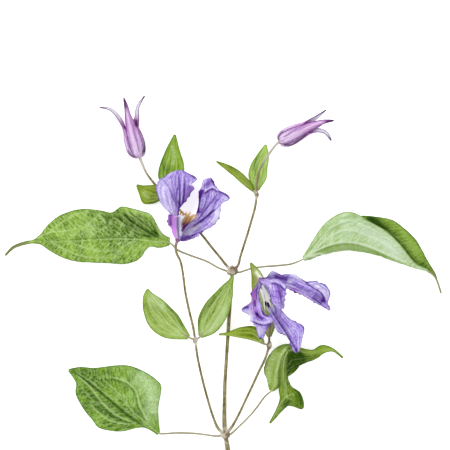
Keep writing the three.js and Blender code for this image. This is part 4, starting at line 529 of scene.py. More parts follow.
# How each piece is painted, on which faces and which half: veins, tone (lighter or darker), pale,
# deep and warm, which is brownish on a leaf and magenta on a tepal. Many of the tone, pale and deep
# strokes, and some warm ones, are painted light and shade: painted shadow in folds, creases and under
# curled parts, painted highlights and sheen, and lit and shaded sides painted lighter and darker. A
# stroke is its half width in mm, its amount, and then x and y of each of its points as seen from above.
STROKES = {
    "leaf_left": {
        "both warm": [(1.6, 1, -117, 19.4, -125, 17, -131.4, 11.4)],
        # Painted shade: the tone darkens the hollow by the folded valley, and the deep strokes are painted
        # shadow in the fold valleys, under the raised margin and beside a fold
        "upper tone": [(7, -1.1, -70, 34, -62, 26, -50, 26)],
        "upper deep": [(2.6, 0.6, -62, 36.5, -56, 31, -48, 27, -39.5, 22.8),
            (0.7, 0.8, -63, 35, -58, 29.6, -51, 25, -43, 22.6),
            (0.7, 0.9, -59.5, 37, -53.4, 31, -46.6, 26.6, -38.5, 22.3),
            (0.6, 0.8, -56, 37.6, -50, 32.8, -44, 28, -38.2, 23.4),
            (0.8, 0.5, -51, 36, -45.5, 33.4, -41, 28.4, -39, 24),
            (0.9, 0.6, -73, 36.6, -70.4, 33.6, -69.3, 30.5)],
        # Painted highlights along the raised margin and on a fold, and a broad painted sheen
        "upper pale": [(1.1, 0.75, -53, 38.6, -46, 37.4, -41, 33.6, -38, 28, -36.9, 23.5),
            (4.5, 0.35, -83, 30, -78, 27), (0.6, 0.8, -75, 36.4, -72.2, 34, -70.6, 31)],
        "upper vein": [(0.45, 1, -111.8, 21.9, -104.1, 25.5, -94.9, 26.4, -86.7, 28.1),
            (0.45, 0.8, -105, 25.2, -98, 30.6, -91, 35.2, -83, 38.2),
            (0.4, 0.7, -93, 20.5, -88, 25, -80, 31, -74, 37),
            (0.4, 0.7, -82, 20.3, -77, 25, -70, 29, -66, 34),
            (0.45, 0.9, -104.1, 20.4, -94.9, 15.3, -84.6, 11.2, -72.3, 10.2),
            (0.45, 0.8, -90.8, 19.4, -82.6, 16.3, -72.3, 14.2, -64.1, 15.3),
            (0.45, 0.9, -66, 8.5, -63.5, 13, -59, 18, -52, 20.5),
            (0.4, 0.5, -66, 22.5, -62, 27.5, -59.5, 33, -61, 38),
            (0.4, 0.4, -58, 22, -54, 27, -51.8, 33, -51, 38), (0.4, 0.8, -65, 34.4, -58, 29.4, -49, 24.6),
            (0.4, 0.8, -58.4, 38.4, -51.6, 33.2, -43, 26.8), (0.35, 0.6, -62, 36.8, -55, 31, -46, 25.6)],
    },
    "leaf_right": {
        "both warm": [(1.5, 1, 123, 2, 128, -2.6, 131.4, -11)],
        # Painted shadow on the folded-over far half along where the near half meets it; the second deep
        # stroke darkens it towards its tail, and the tone lightens it along its far edge
        "upper left deep": [(2.8, 1, 86, 35, 92, 31.5, 100, 24, 107, 15, 112, 8),
            (2.2, 0.6, 112, 9, 120, 5, 126, -2)],
        "upper left tone": [(2.4, 0.9, 90, 38, 102, 33, 110, 24, 118, 12)],
        "under left deep": [(3, 0.6, 54, 12, 62, 15, 74, 16.4, 86, 14, 100, 8.6)],
        "under deep": [(0.6, 0.5, 52, 12, 62, 16.4, 74, 18.6, 84, 17.2, 97, 11.6, 112, 4.6)],
        "under vein": [(0.5, 1, 49.1, 11.7, 58.3, 15.8, 65.5, 18.6, 74.7, 19.9, 84, 18.6, 91.1, 15.8,
            99.3, 12.2, 107.5, 9.1, 112.7, 5.5)],
        "under right tone": [(4, 0.6, 62, 36, 70, 40)],
        # Painted sheen, whitish, on the near half's under face
        "under right pale": [(5, 0.3, 70, 29, 88, 29, 98, 21, 107, 11),
            (3, 0.4, 82, 27, 90, 24, 98, 18, 106, 11)],
        "under right deep": [(0.45, 0.5, 78, 31, 84, 27, 92, 25.6, 99, 20),
            (0.45, 0.45, 84, 34, 90, 29, 98, 23),
            (0.45, 0.4, 70, 34, 80, 35, 86, 32), (0.5, 0.5, 52, 15, 60, 24, 70, 30, 80, 32, 90, 29),
            (0.5, 0.5, 52, 18, 58, 29, 66, 36, 74, 38), (0.5, 0.4, 66, 19, 76, 25, 88, 25, 98, 20)],
    },
    "leaf_low_left": {
        # Painted shade in the groove along the midrib and beside the veins
        "upper deep": [(1, 0.9, -91, -57, -82, -63.6, -73, -70.8, -65, -77.6, -56, -85, -47, -91),
            (0.8, 0.5, -46.2, -88, -51.4, -78, -53.6, -70, -59, -65, -67, -62.4),
            (0.8, 0.5, -57, -88.6, -65, -85.6, -73.5, -78, -81, -69)],
        "upper tone": [(4, 0.5, -60, -60, -56, -68, -52, -78),
            (4, -0.8, -88, -64, -82, -70, -74, -77, -62, -86)],
        # Painted sheen over the upper right part
        "upper pale": [(5, 0.95, -52, -59, -45, -66, -42, -75, -43, -84), (2, 0.35, -46, -84, -44.5, -90)],
        "upper vein": [(0.3, 0.8, -88, -58.6, -80, -63.4, -71.6, -70.4, -63, -77.4, -52, -86),
            (0.45, 1, -45, -88, -50, -78, -52, -70, -58, -64, -68, -61),
            (0.42, 0.8, -52, -85.5, -58, -76.5, -64, -70, -72, -62.5),
            (0.45, 1, -55, -88, -64, -84, -72, -77, -80, -67, -88, -60),
            (0.42, 0.9, -56, -89.5, -64, -88.5, -72, -85, -80, -77),
            (0.35, 0.6, -72, -77, -77, -76, -83, -70), (0.35, 0.6, -52, -70, -47, -66, -46, -60)],
    },
    "leaf_low_right": {
        # Painted shade: the dark region where the blade turns down under its fold, in deep and tone
        "both deep": [(4.4, 1.9, 41, -46.5, 45, -52, 43, -60)],
        "both tone": [(4, -1, 43, -48, 47, -54, 43, -61)],
        "upper warm": [(1.6, 0.35, 24.2, -60, 25.4, -52)],
        "upper tone": [(2.4, 0.6, 60, -45.4, 66, -46, 71, -50), (2.6, 0.6, 27.5, -60, 28, -53, 31, -47),
            (6, -0.6, 38, -64, 41, -72, 36, -80)],
        "upper pale": [(3, 0.5, 27.6, -66, 27, -58, 29.6, -50, 34, -46),
            (1, 0.7, 32, -67, 32.2, -61, 33, -55, 35, -48.6, 38.4, -42.6)],
        # Darker lines; the one along x 38 to 39 is painted shadow at the fold's edge
        "upper deep": [(0.9, 0.6, 34.2, -67, 34.4, -60, 35.4, -53.4, 38, -47),
            (1, 0.8, 50, -53, 57, -53, 64, -49),
            (1.4, 0.9, 38.2, -47.5, 38.6, -55, 39, -61), (1, 0.5, 47, -48.5, 52, -49.5, 57, -48),
            (1.6, 0.7, 41, -75, 36, -79), (0.9, 0.8, 42, -67, 46, -72, 47, -78)],
        "upper vein": [(0.6, 1, 31.2, -67.3, 31.2, -62.2, 32.2, -56.1, 34.3, -49.9, 37.9, -43.8),
            (0.45, 0.9, 43, -71.5, 38, -73, 34, -78, 29.5, -87),
            (0.4, 0.8, 37.4, -64, 38, -69, 38, -73, 42.4, -75.4)],
    },
    "leaf_branch_left_outer": {
        "upper deep": [(1.5, 0.55, -34.5, -17.5, -28.5, -24, -24.2, -31.5)],
        "upper pale": [(2.6, 0.7, -43.5, -12.5, -40, -15.5, -35, -20)],
        "upper tone": [(2.2, 0.7, -38, -26, -31, -30.5, -25, -33.6)],
        "upper vein": [(0.4, 1, -45, -13, -42.3, -21, -34.7, -28.3, -23.2, -35.4),
            (0.4, 0.9, -44.6, -10, -38, -18.5, -31, -26, -23.4, -34.8),
            (0.35, 0.8, -47, -20, -43, -29, -35, -34.5, -25, -36)],
    },
    "leaf_branch_left_inner": {
        # Painted shade along the left half, and a painted sheen over the right half
        "upper deep": [(1.4, 0.7, -15.2, -33, -14.4, -26.5, -9.5, -19, -4, -12.5)],
        "upper pale": [(2.4, 0.6, -9, -34, -2.5, -27, 1.5, -19)],
        "upper vein": [(0.4, 1, -12.8, -35.6, -7, -27, -1, -17, 4.5, -6),
            (0.35, 0.8, -13, -35, -11.4, -27, -6, -18, 2, -8),
            (0.35, 0.8, -12.4, -36, -5, -30, 0.6, -21, 3.6, -11)],
    },
    "leaf_branch_right_outer": {
        # Painted light on the strip that shows inside the flower, where the flower's shade falls on it
        "both pale": [(1.5, 1.7, 19.4, 2.4, 22, -1, 24.6, -4.5), (2.2, 3, 22.6, -3, 24, -9, 26.4, -15.5),
            (1.5, 0.7, 20.6, -12, 22.8, -18, 25.6, -25)],
    },
    "leaf_branch_right_inner": {
        "both deep": [(0.7, 0.7, 8, -29.6, 16, -31, 27, -36)],
        "both pale": [(1.4, 0.4, 16, -27.4, 22, -29)],
        "both vein": [(0.4, 0.7, 3, -32.5, 12, -30, 20, -31, 28.6, -35)],
    },
    "leaf_bud_left_upper": {
        "upper deep": [(1.1, 0.6, -34.6, 62, -36.4, 68, -34, 76)],
        "upper pale": [(1, 0.6, -30, 66, -29.6, 72, -31, 78)],
    },
    "leaf_bud_left_side": {
        "both deep": [(1.2, 0.7, -45, 42.6, -38, 43), (1, 0.6, -40, 52, -38.6, 46)],
        "both pale": [(1.4, 0.5, -48, 50, -44.6, 46)],
        "both tone": [(4, -0.5, -46, 45, -38, 45)],
    },
    "leaf_bud_right_side": {
        "both vein": [(0.35, 0.8, -2, 66, 6, 62, 13, 56, 18.4, 49)],
        "both deep": [(0.8, 0.4, 2, 65.6, 10, 61.6, 16, 55)],
        "both tone": [(2, 0.7, 0, 66, 8, 62, 15, 54)],
    },
    "leaf_bud_right_upper": {
        "both deep": [(0.9, 0.7, 23.4, 77, 20, 70, 18.6, 62)],
        # Painted sheen on the right half
        "both pale": [(1.2, 0.6, 26, 58, 27, 66, 26.6, 72)],
        "both vein": [(0.35, 0.9, 25.6, 79, 22.6, 70, 20.6, 60, 20.6, 50)],
    },
    "flower_left_tepal_1": {
        "upper warm": [(2.4, 0.35, -21, 46, -17.4, 52)],
        # The broad pale stroke paints the left half lighter as the lit side of its fold along the midrib
        "upper pale": [(6, 0.4, -37, 58, -37, 50, -33, 42, -30, 36),
            (0.5, 0.7, -25, 42, -24.6, 50, -24.2, 60),
            (0.5, 0.6, -22, 46, -19.8, 52, -19, 58), (1.5, 0.8, -16, 59, -14.8, 57.2, -14.6, 55)],
        # The broad deep stroke on the right half is painted shade on the shaded side of the fold; the
        # narrow ones are its veins, its dark base and margin
        "upper deep": [(1.4, 0.8, -26.6, 31, -25.8, 40),
            (0.6, 1, -27, 34, -26.2, 38.1, -26, 48, -26.5, 60.4),
            (3, 0.8, -24.2, 38, -21.4, 46, -19, 54), (0.7, 0.7, -24.8, 40, -23.4, 49, -23, 60),
            (0.5, 0.7, -27, 40, -29.7, 46.1, -32.5, 52.4, -35.5, 57),
            (0.45, 0.6, -27.6, 43, -30, 52, -31, 60), (0.45, 0.6, -26.6, 42, -28, 50, -28.6, 60),
            (0.6, 1, -25.4, 37, -21.5, 44, -16.7, 50.8), (0.6, 0.8, -22.7, 62, -19.5, 60.5, -16.7, 57.8)],
    },
    "flower_left_tepal_2": {
        "both left deep": [(1.5, 1.4, -15.2, 36.9, -15, 44, -12.4, 51.5)],
        "both left pale": [(0.6, 0.7, -16.4, 38, -16.2, 45, -13.8, 52)],
        "upper pale": [(0.45, 1.1, -11.6, 49.6, -6.5, 52.7, -3.3, 50.8),
            (1.2, 0.8, -25.4, 23.4, -21, 25.8, -15, 28.6), (2, 0.9, -6.5, 31, -4.2, 34, -3, 38),
            (1, 0.6, -1, 46.5, 2, 46)],
        "upper deep": [(0.6, 0.9, -7.1, 57.5, -5.6, 55.6, -4.9, 53.7),
            (0.8, 0.9, -11.4, 48.6, -6.5, 51.6, -3.5, 49.6), (1.4, 0.6, -11.6, 53, -8, 55.6, -5.6, 56),
            (0.6, 1, -18, 29, -12, 33.5, -5.2, 39.4), (0.5, 0.8, -15, 33, -10, 40, -5, 46, -3.6, 48.9),
            (0.5, 0.7, -13.4, 37, -10.5, 43, -8.5, 49), (0.45, 0.6, -14, 31, -8, 36, -2, 42),
            (0.6, 1, -2.7, 50.2, 1, 48.6, 4, 46.1), (0.5, 0.8, -0.5, 42.6, 2, 43.4, 4.2, 45)],
    },
    "flower_left_tepal_3": {
        # Painted shade and painted light: this tepal rises steeply, and its half on the left as seen from
        # above is painted magenta as its shaded side, the half on the right near-white as its lit side;
        # amounts beyond 1 make both lighter than any colour code gives
        "both warm": [(4.6, 2.6, -31.6, 36, -31, 28, -29, 21)],
        "both right deep": [(1.2, 0.85, -31.8, 36.6, -31.6, 31.8, -31.2, 29.6)],
        "both deep": [(0.4, 0.9, -27.1, 35.6, -27, 28, -26.5, 21.3)],
        "both left pale": [(3.4, 2.6, -23, 36, -23.2, 29, -24.3, 21)],
        "both left deep": [(0.35, 0.35, -24, 34, -22.4, 28)],
    },
    "flower_left_tepal_4": {
        "under deep": [(1.5, 1.5, -25.4, 21, -20.9, 22.8, -15.6, 25.4)],
        "upper deep": [(1.3, 1, -25.4, 21, -20.9, 22.8, -15.6, 25.4)],
        "both pale": [(0.8, 1.8, -25.6, 23.8, -21, 26.2, -14, 28)],
    },
    "flower_right_tepal_1": {
        "both pale": [(1.2, 0.6, 27.5, 2.5, 28.5, 1, 29.5, -1)],
        "upper warm": [(1, 0.5, 38.6, -8, 46, -11, 54, -16)],
        "upper pale": [(0.8, 1, 38.6, -3.8, 41.4, -4), (1.3, 0.8, 40.5, 0.4, 44, -0.9, 47.6, -2.7),
            (2.2, 0.5, 52.5, -4.5, 58, -7.5, 63.5, -13), (0.45, 0.6, 34, -4.6, 42, -7, 50, -11)],
        "upper deep": [(1.8, 0.9, 31, -0.8, 35, -1.8, 39, -2.6), (0.8, 0.8, 48.6, -3.2, 50.8, -4.4),
            (0.4, 0.7, 50.6, -3, 55, -3.4, 60, -5.4, 63.6, -9.4, 64.2, -14),
            (0.35, 0.45, 53, -6, 57, -5.4, 60, -8), (0.35, 0.45, 56, -8.6, 60.4, -8.4, 62.6, -11),
            (0.4, 0.6, 36, -4.4, 44, -6.6, 52, -10.4), (0.4, 0.6, 38, -6.6, 46, -9.4, 54, -14, 60, -18),
            (0.5, 1, 49.7, -4.6, 54.3, -7.9, 58.6, -10.6, 61, -14.6), (2.4, 0.6, 54, -12.6, 60, -16),
            (1.1, 1, 59.6, -14.6, 61, -16.2), (0.7, 0.9, 38.6, -8.8, 46, -12, 54, -17, 62.7, -21.5)],
    },
    "flower_right_tepal_2": {
        # The first pale stroke is a painted highlight along the curled top margin
        "both pale": [(0.4, 0.9, 28.6, -3.4, 33.6, -4.4, 38.4, -8.4), (0.8, 0.7, 28.2, -6, 27.8, -12)],
        # Painted shade in the crinkles across the tepal
        "both tone": [(0.5, 0.8, 28.4, -9, 32, -10, 36.6, -9),
            (0.5, 0.8, 28.6, -12, 32, -13.2, 36.4, -12.6),
            (0.5, 0.8, 30, -15.6, 33, -16.6, 36, -16)],
        # The first deep stroke is painted shade under the curled top margin
        "both deep": [(0.6, 0.9, 29, -5, 33.6, -6.2, 37.6, -9.6),
            (0.5, 0.7, 33.8, -7, 34.6, -13, 35, -18.4)],
    },
    "flower_right_tepal_3": {
        "upper deep": [(0.55, 1, 29, -21, 34, -29, 39, -36.5, 43.9, -44.8),
            (0.45, 0.7, 30.6, -21.6, 36, -29.6, 41, -37.5), (0.45, 0.7, 28, -23, 33, -31, 38.4, -39),
            (1.1, 0.9, 43.4, -44.4, 44.8, -47)],
        "upper pale": [(0.6, 0.35, 32, -23, 37.5, -30.6, 42.4, -37.4),
            (0.7, 0.3, 29.5, -29.5, 33, -35, 37, -40.6)],
    },
    "flower_right_tepal_4": {
        "both warm": [(2.6, 1.2, 18.5, -4, 17.2, -10, 17.8, -18), (2, 0.6, 18, -21, 21, -24.6)],
        "both pale": [(0.7, 1.1, 22.4, -2.6, 21, -5.6, 19.6, -8), (0.5, 1, 20.8, -24.2, 21.6, -24.8),
            (1, 1, 16.3, -13.5, 16.9, -16), (2.2, 0.8, 15.8, -21, 16, -25.5),
            (0.5, 0.8, 19, -27.2, 24, -28.6, 29, -27.6), (1.6, 0.8, 21.6, -31, 22.4, -36)],
        "both deep": [(0.5, 0.9, 20.9, -6.4, 20.2, -10, 20, -14.4),
            (0.5, 0.9, 17.6, -9, 16.4, -13, 15.7, -17),
            (0.8, 1, 11.6, -19.9, 13.4, -19.6, 15.4, -18.8), (1.2, 0.9, 19.4, -22.6, 21, -23.8),
            (0.7, 1, 19, -15, 19.3, -19), (0.9, 1, 20.6, -23.8, 22.6, -25.6, 24.4, -26.4),
            (0.5, 1, 17.6, -27.8, 21, -29.4, 25, -30.2, 30.5, -28.7), (0.8, 1, 22.2, -37.6, 22.6, -39)],
    },
    "bud_left": {
        "under pale": [(0.7, 0.9, -51.8, 74, -54.4, 82, -56.6, 92, -57.6, 98)],
        "under tone": [(0.5, 1, -53.6, 73, -56.8, 82, -59, 90), (0.5, 1, -50.4, 74, -52.4, 82, -54.2, 91),
            (0.45, 0.8, -55.6, 75, -58.8, 84, -60.4, 90)],
        "under deep": [(1, 1, -47.6, 73, -46.6, 78, -47.6, 83, -49.8, 88),
            (0.6, 0.8, -57.3, 75, -55.5, 72.2, -53, 70.6)],
        "both deep": [(1.4, 0.9, -58.8, 100, -59, 105.5), (1, 0.8, -52.4, 89, -51.8, 93.5),
            (0.6, 0.7, -60.9, 87, -63, 92.4, -67, 97, -72.5, 99.8),
            (0.6, 0.8, -50, 92, -49.8, 100, -47.2, 106.6)],
        "both warm": [(3, 0.6, -57, 90, -58, 98)],
    },
    "bud_right": {
        "under pale": [(0.7, 0.9, 37, 80.6, 45, 85, 54, 90, 60, 92)],
        "under tone": [(0.5, 1, 36.4, 82.6, 43.6, 87.4, 51, 91), (0.5, 1, 38, 79, 46.4, 83.4, 54, 88)],
        "under deep": [(0.8, 0.9, 36, 78.4, 41, 78, 46, 81.2, 51, 84.8),
            (0.6, 0.7, 33.4, 80, 33.6, 83.6, 36, 86.4)],
        "both deep": [(1.2, 0.9, 61.5, 92.2, 66, 92.3), (0.6, 0.8, 52, 94, 57, 96.4, 61.4, 98.6),
            (0.6, 0.8, 55, 85.2, 60.6, 84.6, 64.4, 80.4)],
        "both warm": [(2.6, 0.6, 54, 90, 60, 92)],
    },
}

# Stamens: how many threads to one stamen, their length and thickness to a stamen's, how far their
# tips stray in mm, and how far along a stamen's colours they go
PLAIN_THREADS = (1, 1, 1, 2.4, 1)
FINE_THREADS = {
    "golden_stamens": (1, 1.06, 0.6, 3, 1),
    "cream_stamens": (2.6, 0.95, 0.6, 6, 0.6),
}


# The same shape rules as the solid model's, over whole rows of numbers at a time

SIDES = {"left": -1, "right": 1}


def along(values, u):
    """The value at each u of a smooth curve through evenly spaced numbers or points."""
    u = np.asarray(u, float)
    values = np.asarray(values, float)
    if values.ndim == 0:
        return np.full(u.shape, float(values))
    if len(values) == 1:
        return np.broadcast_to(values[0], u.shape + values[0].shape).copy()
    last = len(values) - 1
    place = np.clip(u, 0, 1) * last
    i = np.minimum(np.floor(place).astype(int), last - 1)
    f = (place - i).reshape(u.shape + (1,) * (values.ndim - 1))
    a, b, c, d = (values[np.clip(i + k, 0, last)] for k in (-1, 0, 1, 2))
    bend = (2 * a - 5 * b + 4 * c - d) * f**2 + (3 * b - a - 3 * c + d) * f**3
    return b + 0.5 * ((c - a) * f + bend)


def unit(vectors):
    return vectors / np.maximum(np.linalg.norm(vectors, axis=-1, keepdims=True), 1e-9)


def smoothstep(x, low, high):
    x = np.clip((x - low) / (high - low), 0, 1)
    return x * x * (3 - 2 * x)


def length_so_far(points):
    steps = np.linalg.norm(np.diff(points, axis=0), axis=1)
    return np.concatenate([[0], np.cumsum(steps)])


def half_width(side, u):
    return np.maximum(along(side["width"], u), SMALLEST_HALF_WIDTH)[:, None]


def half_blade(side, u, t):
    """How far out and up each point of a half blade lies, and how far ahead, for u down and t across."""
    width = half_width(side, u)
    keys = ("lift", "curl", "roll", "sweep")
    lift, curl, roll, sweep = (along(side.get(key, 0), u)[:, None] for key in keys)
    height, count, phase = side.get("ruffle", [0, 1, 0])
    ruffle = (height * np.sin(np.pi * u) * np.sin(2 * np.pi * (count * u + phase)))[:, None]

    def angle(places):
        bent = places
        if "bend" in side:
            start, end = (along(limit, u)[:, None] for limit in side["bend"])
            bent = smoothstep(places, start, end)
        return np.radians(lift + curl * bent + roll * places**4)

    fine = 3  # steps that are added up from one column to the next
    edges = np.concatenate([[0], t])
    middles = (np.arange(fine) + 0.5) / fine
    steps = np.concatenate([a + (b - a) * middles for a, b in zip(edges, edges[1:])])
    spans = np.repeat(np.diff(edges) / fine, fine)
    turned = angle(steps[None, :])
    out = np.cumsum(width * spans * np.cos(turned), axis=1)[:, fine - 1 :: fine]
    rise = np.cumsum(width * spans * np.sin(turned), axis=1)[:, fine - 1 :: fine]
    shift = ruffle * t[None, :] ** 2
    for from_u, from_t, to_u, to_t, fold_height, spread in side.get("folds", []):
        part = np.clip((u - from_u) / (to_u - from_u), 0, 1)[:, None]
        away = (t[None, :] - from_t - (to_t - from_t) * part) / spread
        shift = shift + fold_height * np.sin(np.pi * part) * np.exp(-(away**2))
    turned = angle(t[None, :])
    return out - shift * np.sin(turned), rise + shift * np.cos(turned), sweep * t[None, :] ** 2


def blade_grid(shape, u, t):
    """The middle surface of a blade: rows along u, columns from its left margin to its right one."""
    centre = along(shape["spine"], u)
    step = 0.5 / shape.get("rows", 8)
    forward = unit(along(shape["spine"], u + step) - along(shape["spine"], u - step))
    up = along(shape.get("up", [[0, 0, 1]]), u)
    up = unit(up - forward * np.sum(up * forward, axis=1, keepdims=True))
    right = np.cross(forward, up)
    halves = []
    for name, sign in SIDES.items():
        out, rise, ahead = half_blade(shape[name], u, t)
        points = centre[:, None] + right[:, None] * (sign * out)[..., None]
        points = points + up[:, None] * rise[..., None] + forward[:, None] * ahead[..., None]
        halves.append(points)
    return np.concatenate([halves[0][:, ::-1], centre[:, None], halves[1]], axis=1)


def normals_of(grid):
    sideways = np.gradient(grid, axis=1)
    lengthways = np.gradient(grid, axis=0)
    return unit(np.cross(sideways, lengthways))


# Patterns in two dimensions


def scatter(i, j, seed):
    """Numbers from 0 to 1 that look random, the same in every run, one for each pair of whole numbers."""
    mixed = np.sin(i * 127.1 + j * 311.7 + seed * 74.7) * 43758.5453
    return mixed - np.floor(mixed)


def blotches(x, y, seed):
    """Smooth noise from 0 to 1 whose grains are 1 across."""
    i, j = np.floor(x), np.floor(y)
    f, g = smoothstep(x - i, 0, 1), smoothstep(y - j, 0, 1)
    low = scatter(i, j, seed) * (1 - f) + scatter(i + 1, j, seed) * f
    high = scatter(i, j + 1, seed) * (1 - f) + scatter(i + 1, j + 1, seed) * f
    return low * (1 - g) + high * g


def cells(x, y, seed):
    """For cells 1 across: how far a point is from the nearest wall, and a number for its cell."""
    i, j = np.floor(x), np.floor(y)
    first = np.full(x.shape, 9.0)
    second = np.full(x.shape, 9.0)
    own = np.zeros(x.shape)
    for di in (-1, 0, 1):
        for dj in (-1, 0, 1):
            px = i + di + 0.15 + 0.7 * scatter(i + di, j + dj, seed)
            py = j + dj + 0.15 + 0.7 * scatter(i + di, j + dj, seed + 3)
            away = np.hypot(px - x, py - y)
            nearer = away < first
            second = np.where(nearer, first, np.minimum(second, away))
            own = np.where(nearer, scatter(i + di, j + dj, seed + 5), own)
            first = np.where(nearer, away, first)
    return second - first, own


def ridges(t, spread, place, share):
    """A ridge along the middle, 1 high, and one of a share of that at a place on each side of it."""
    return np.exp(-((t / spread) ** 2)) + share * np.exp(-(((np.abs(t) - place) / spread) ** 2))


def nothing(at):
    return np.zeros(at.u.shape)


# Meshes, from parts: each is its points in mm, its faces, and its values, three to a point


def mesh_of(name, points, faces):
    mesh = bpy.data.meshes.new(name)
    mesh.from_pydata((points * MM).tolist(), [], faces)
    return mesh


def placed(name, data):
    """A new object in the scene."""
    thing = bpy.data.objects.new(name, data)
    bpy.context.scene.collection.objects.link(thing)
    return thing


def joined(parts):
    """The points of all parts, and their faces numbered through."""
    points = np.concatenate([part[0] for part in parts])
    faces = []
    start = 0
    for part_points, part_faces, _ in parts:
        faces += [[start + k for k in face] for face in part_faces]
        start += len(part_points)
    return points, faces


def make_piece(node, slot, *painted):
    """One object in place of a node, from pairs of a material's name and the parts that it covers."""
    name = node + "_fine"
    parts = [part for _, covered in painted for part in covered]
    mesh = mesh_of(name, *joined(parts))
    numbers = [k for k, (_, covered) in enumerate(painted) for part in covered for _ in part[1]]
    mesh.polygons.foreach_set("use_smooth", [True] * len(numbers))
    mesh.polygons.foreach_set("material_index", numbers)
    for key in ("place", "marks", "tints", "span"):
        values = [part[2].get(key, np.zeros((len(part[0]), 3))) for part in parts]
        attribute = mesh.attributes.new(key, "FLOAT_VECTOR", "POINT")
        attribute.data.foreach_set("vector", np.concatenate(values).astype(np.float32).ravel())
    for material, _ in painted:
        mesh.materials.append(MATERIALS[material])
    mesh.update()
    piece = placed(name, mesh)
    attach(piece, "root")
    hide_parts(node)


def ring_faces(rows, ring):
    """Faces between closed rings of points, given one ring after the other."""
    i, k = np.meshgrid(np.arange(rows - 1), np.arange(ring), indexing="ij")
    k_next = (k + 1) % ring
    near, far = i * ring, (i + 1) * ring
    return np.stack([near + k, near + k_next, far + k_next, far + k], axis=-1).reshape(-1, 4).tolist()


def closed_rings(rows, ring):
    """Faces between rings, and one over each end."""
    far = (rows - 1) * ring
    return ring_faces(rows, ring) + [list(range(ring))[::-1], [far + k for k in range(ring)]]


def across_from(forward, way):
    """What is left of a way without its share along forward."""
    return way - forward * way.dot(forward)


def any_way(forward):
    """Some direction that isn't along forward."""
    return np.array([0.0, 0, 1]) if abs(forward[2]) < 0.9 else np.array([1.0, 0, 0])


def circle(forward, across, turn):
    """Steps of length 1 at each turn round forward, from across on."""
    other = np.cross(forward, across)
    return across * np.cos(turn)[:, None] + other * np.sin(turn)[:, None]


def tube_part(points, radii, sides, steps, ripple=None):
    """A tapered tube through points; its places are how far along, how far round, and 0."""
    u = np.linspace(0, 1, steps + 1)
    turn = np.linspace(0, 2 * np.pi, sides, endpoint=False)
    centres = along(points, u)
    forward = unit(np.gradient(centres, axis=0))
    radius = along(radii, u)
    across = any_way(forward[0])
    rings = []
    for i in range(steps + 1):
        across = unit(across_from(forward[i], across))
        size = np.full(turn.shape, radius[i])
        if ripple:
            size = size + ripple(u[i], turn)
        rings.append(centres[i] + circle(forward[i], across, turn) * size[:, None])
    uu, rounds = np.meshgrid(u, turn / (2 * np.pi), indexing="ij")
    place = np.stack([uu, rounds, 0 * uu], axis=-1).reshape(-1, 3)
    return np.concatenate(rings), closed_rings(steps + 1, sides), {"place": place}


def egg_part(centre, direction, half_length, radius):
    """An egg shape with its long way along a direction."""
    rows, sides = 14, 20
    forward = unit(np.array(direction, float))
    across = unit(across_from(forward, any_way(forward)))
    ring = circle(forward, across, np.linspace(0, 2 * np.pi, sides, endpoint=False)) * radius
    end = np.pi / 2 * 0.96
    rings = []
    for lean in np.linspace(-end, end, rows):
        rings.append(np.array(centre) + forward * half_length * np.sin(lean) + ring * np.cos(lean))
    return np.concatenate(rings), closed_rings(rows, sides), {}


def seen_from_above(points):
    """Where the camera sees points, in millimetres on the middle level."""
    nearer = (CAMERA_HEIGHT - MIDDLE_LEVEL) / (CAMERA_HEIGHT - points[..., 2:])
    return CAMERA_OVER + (points[..., :2] - CAMERA_OVER) * nearer


def stroked(name, points, t, face):
    """The sum of a piece's strokes of each kind at points of one face, with t their places across it."""
    totals = {kind: np.zeros(t.shape) for kind in ("vein", "tone", "pale", "deep", "warm")}
    seen = seen_from_above(points)
    for where, strokes in STROKES[name].items():
        faces, *half, kind = where.split()
        if faces not in (face, "both"):
            continue
        here = t * SIDES[half[0]] >= 0 if half else 1
        for width, amount, *line in strokes:
            corners = np.reshape(line, (-1, 2))
            path = along(corners, np.linspace(0, 1, 20 * (len(corners) - 1) + 1))
            away = np.linalg.norm(seen[..., None, :] - path, axis=-1)
            part = away.argmin(axis=-1) / (len(path) - 1)
            ends = np.clip(8 * np.minimum(part, 1 - part) + 0.3, 0, 1)
            totals[kind] += here * ends * amount * np.exp(-((away.min(axis=-1) / width) ** 2))
    return totals


def wrap(top, back, rim):
    """Rows that go round a blade: over the top, the right rim, the back and the left rim."""
    return np.concatenate([top, rim[:, -1:], back[:, ::-1], rim[:, :1]], axis=1)


def blade_faces(rows, columns):
    """The faces of a blade that is wrapped like that, with both its ends closed."""
    around = 2 * columns + 2
    end = [[k + 1, k, 2 * columns - k, 2 * columns - k - 1] for k in range(columns - 1)]
    end += [[columns, columns - 1, columns + 1], [0, around - 1, 2 * columns]]
    far = (rows - 1) * around
    return ring_faces(rows, around) + end + [[far + k for k in face[::-1]] for face in end]


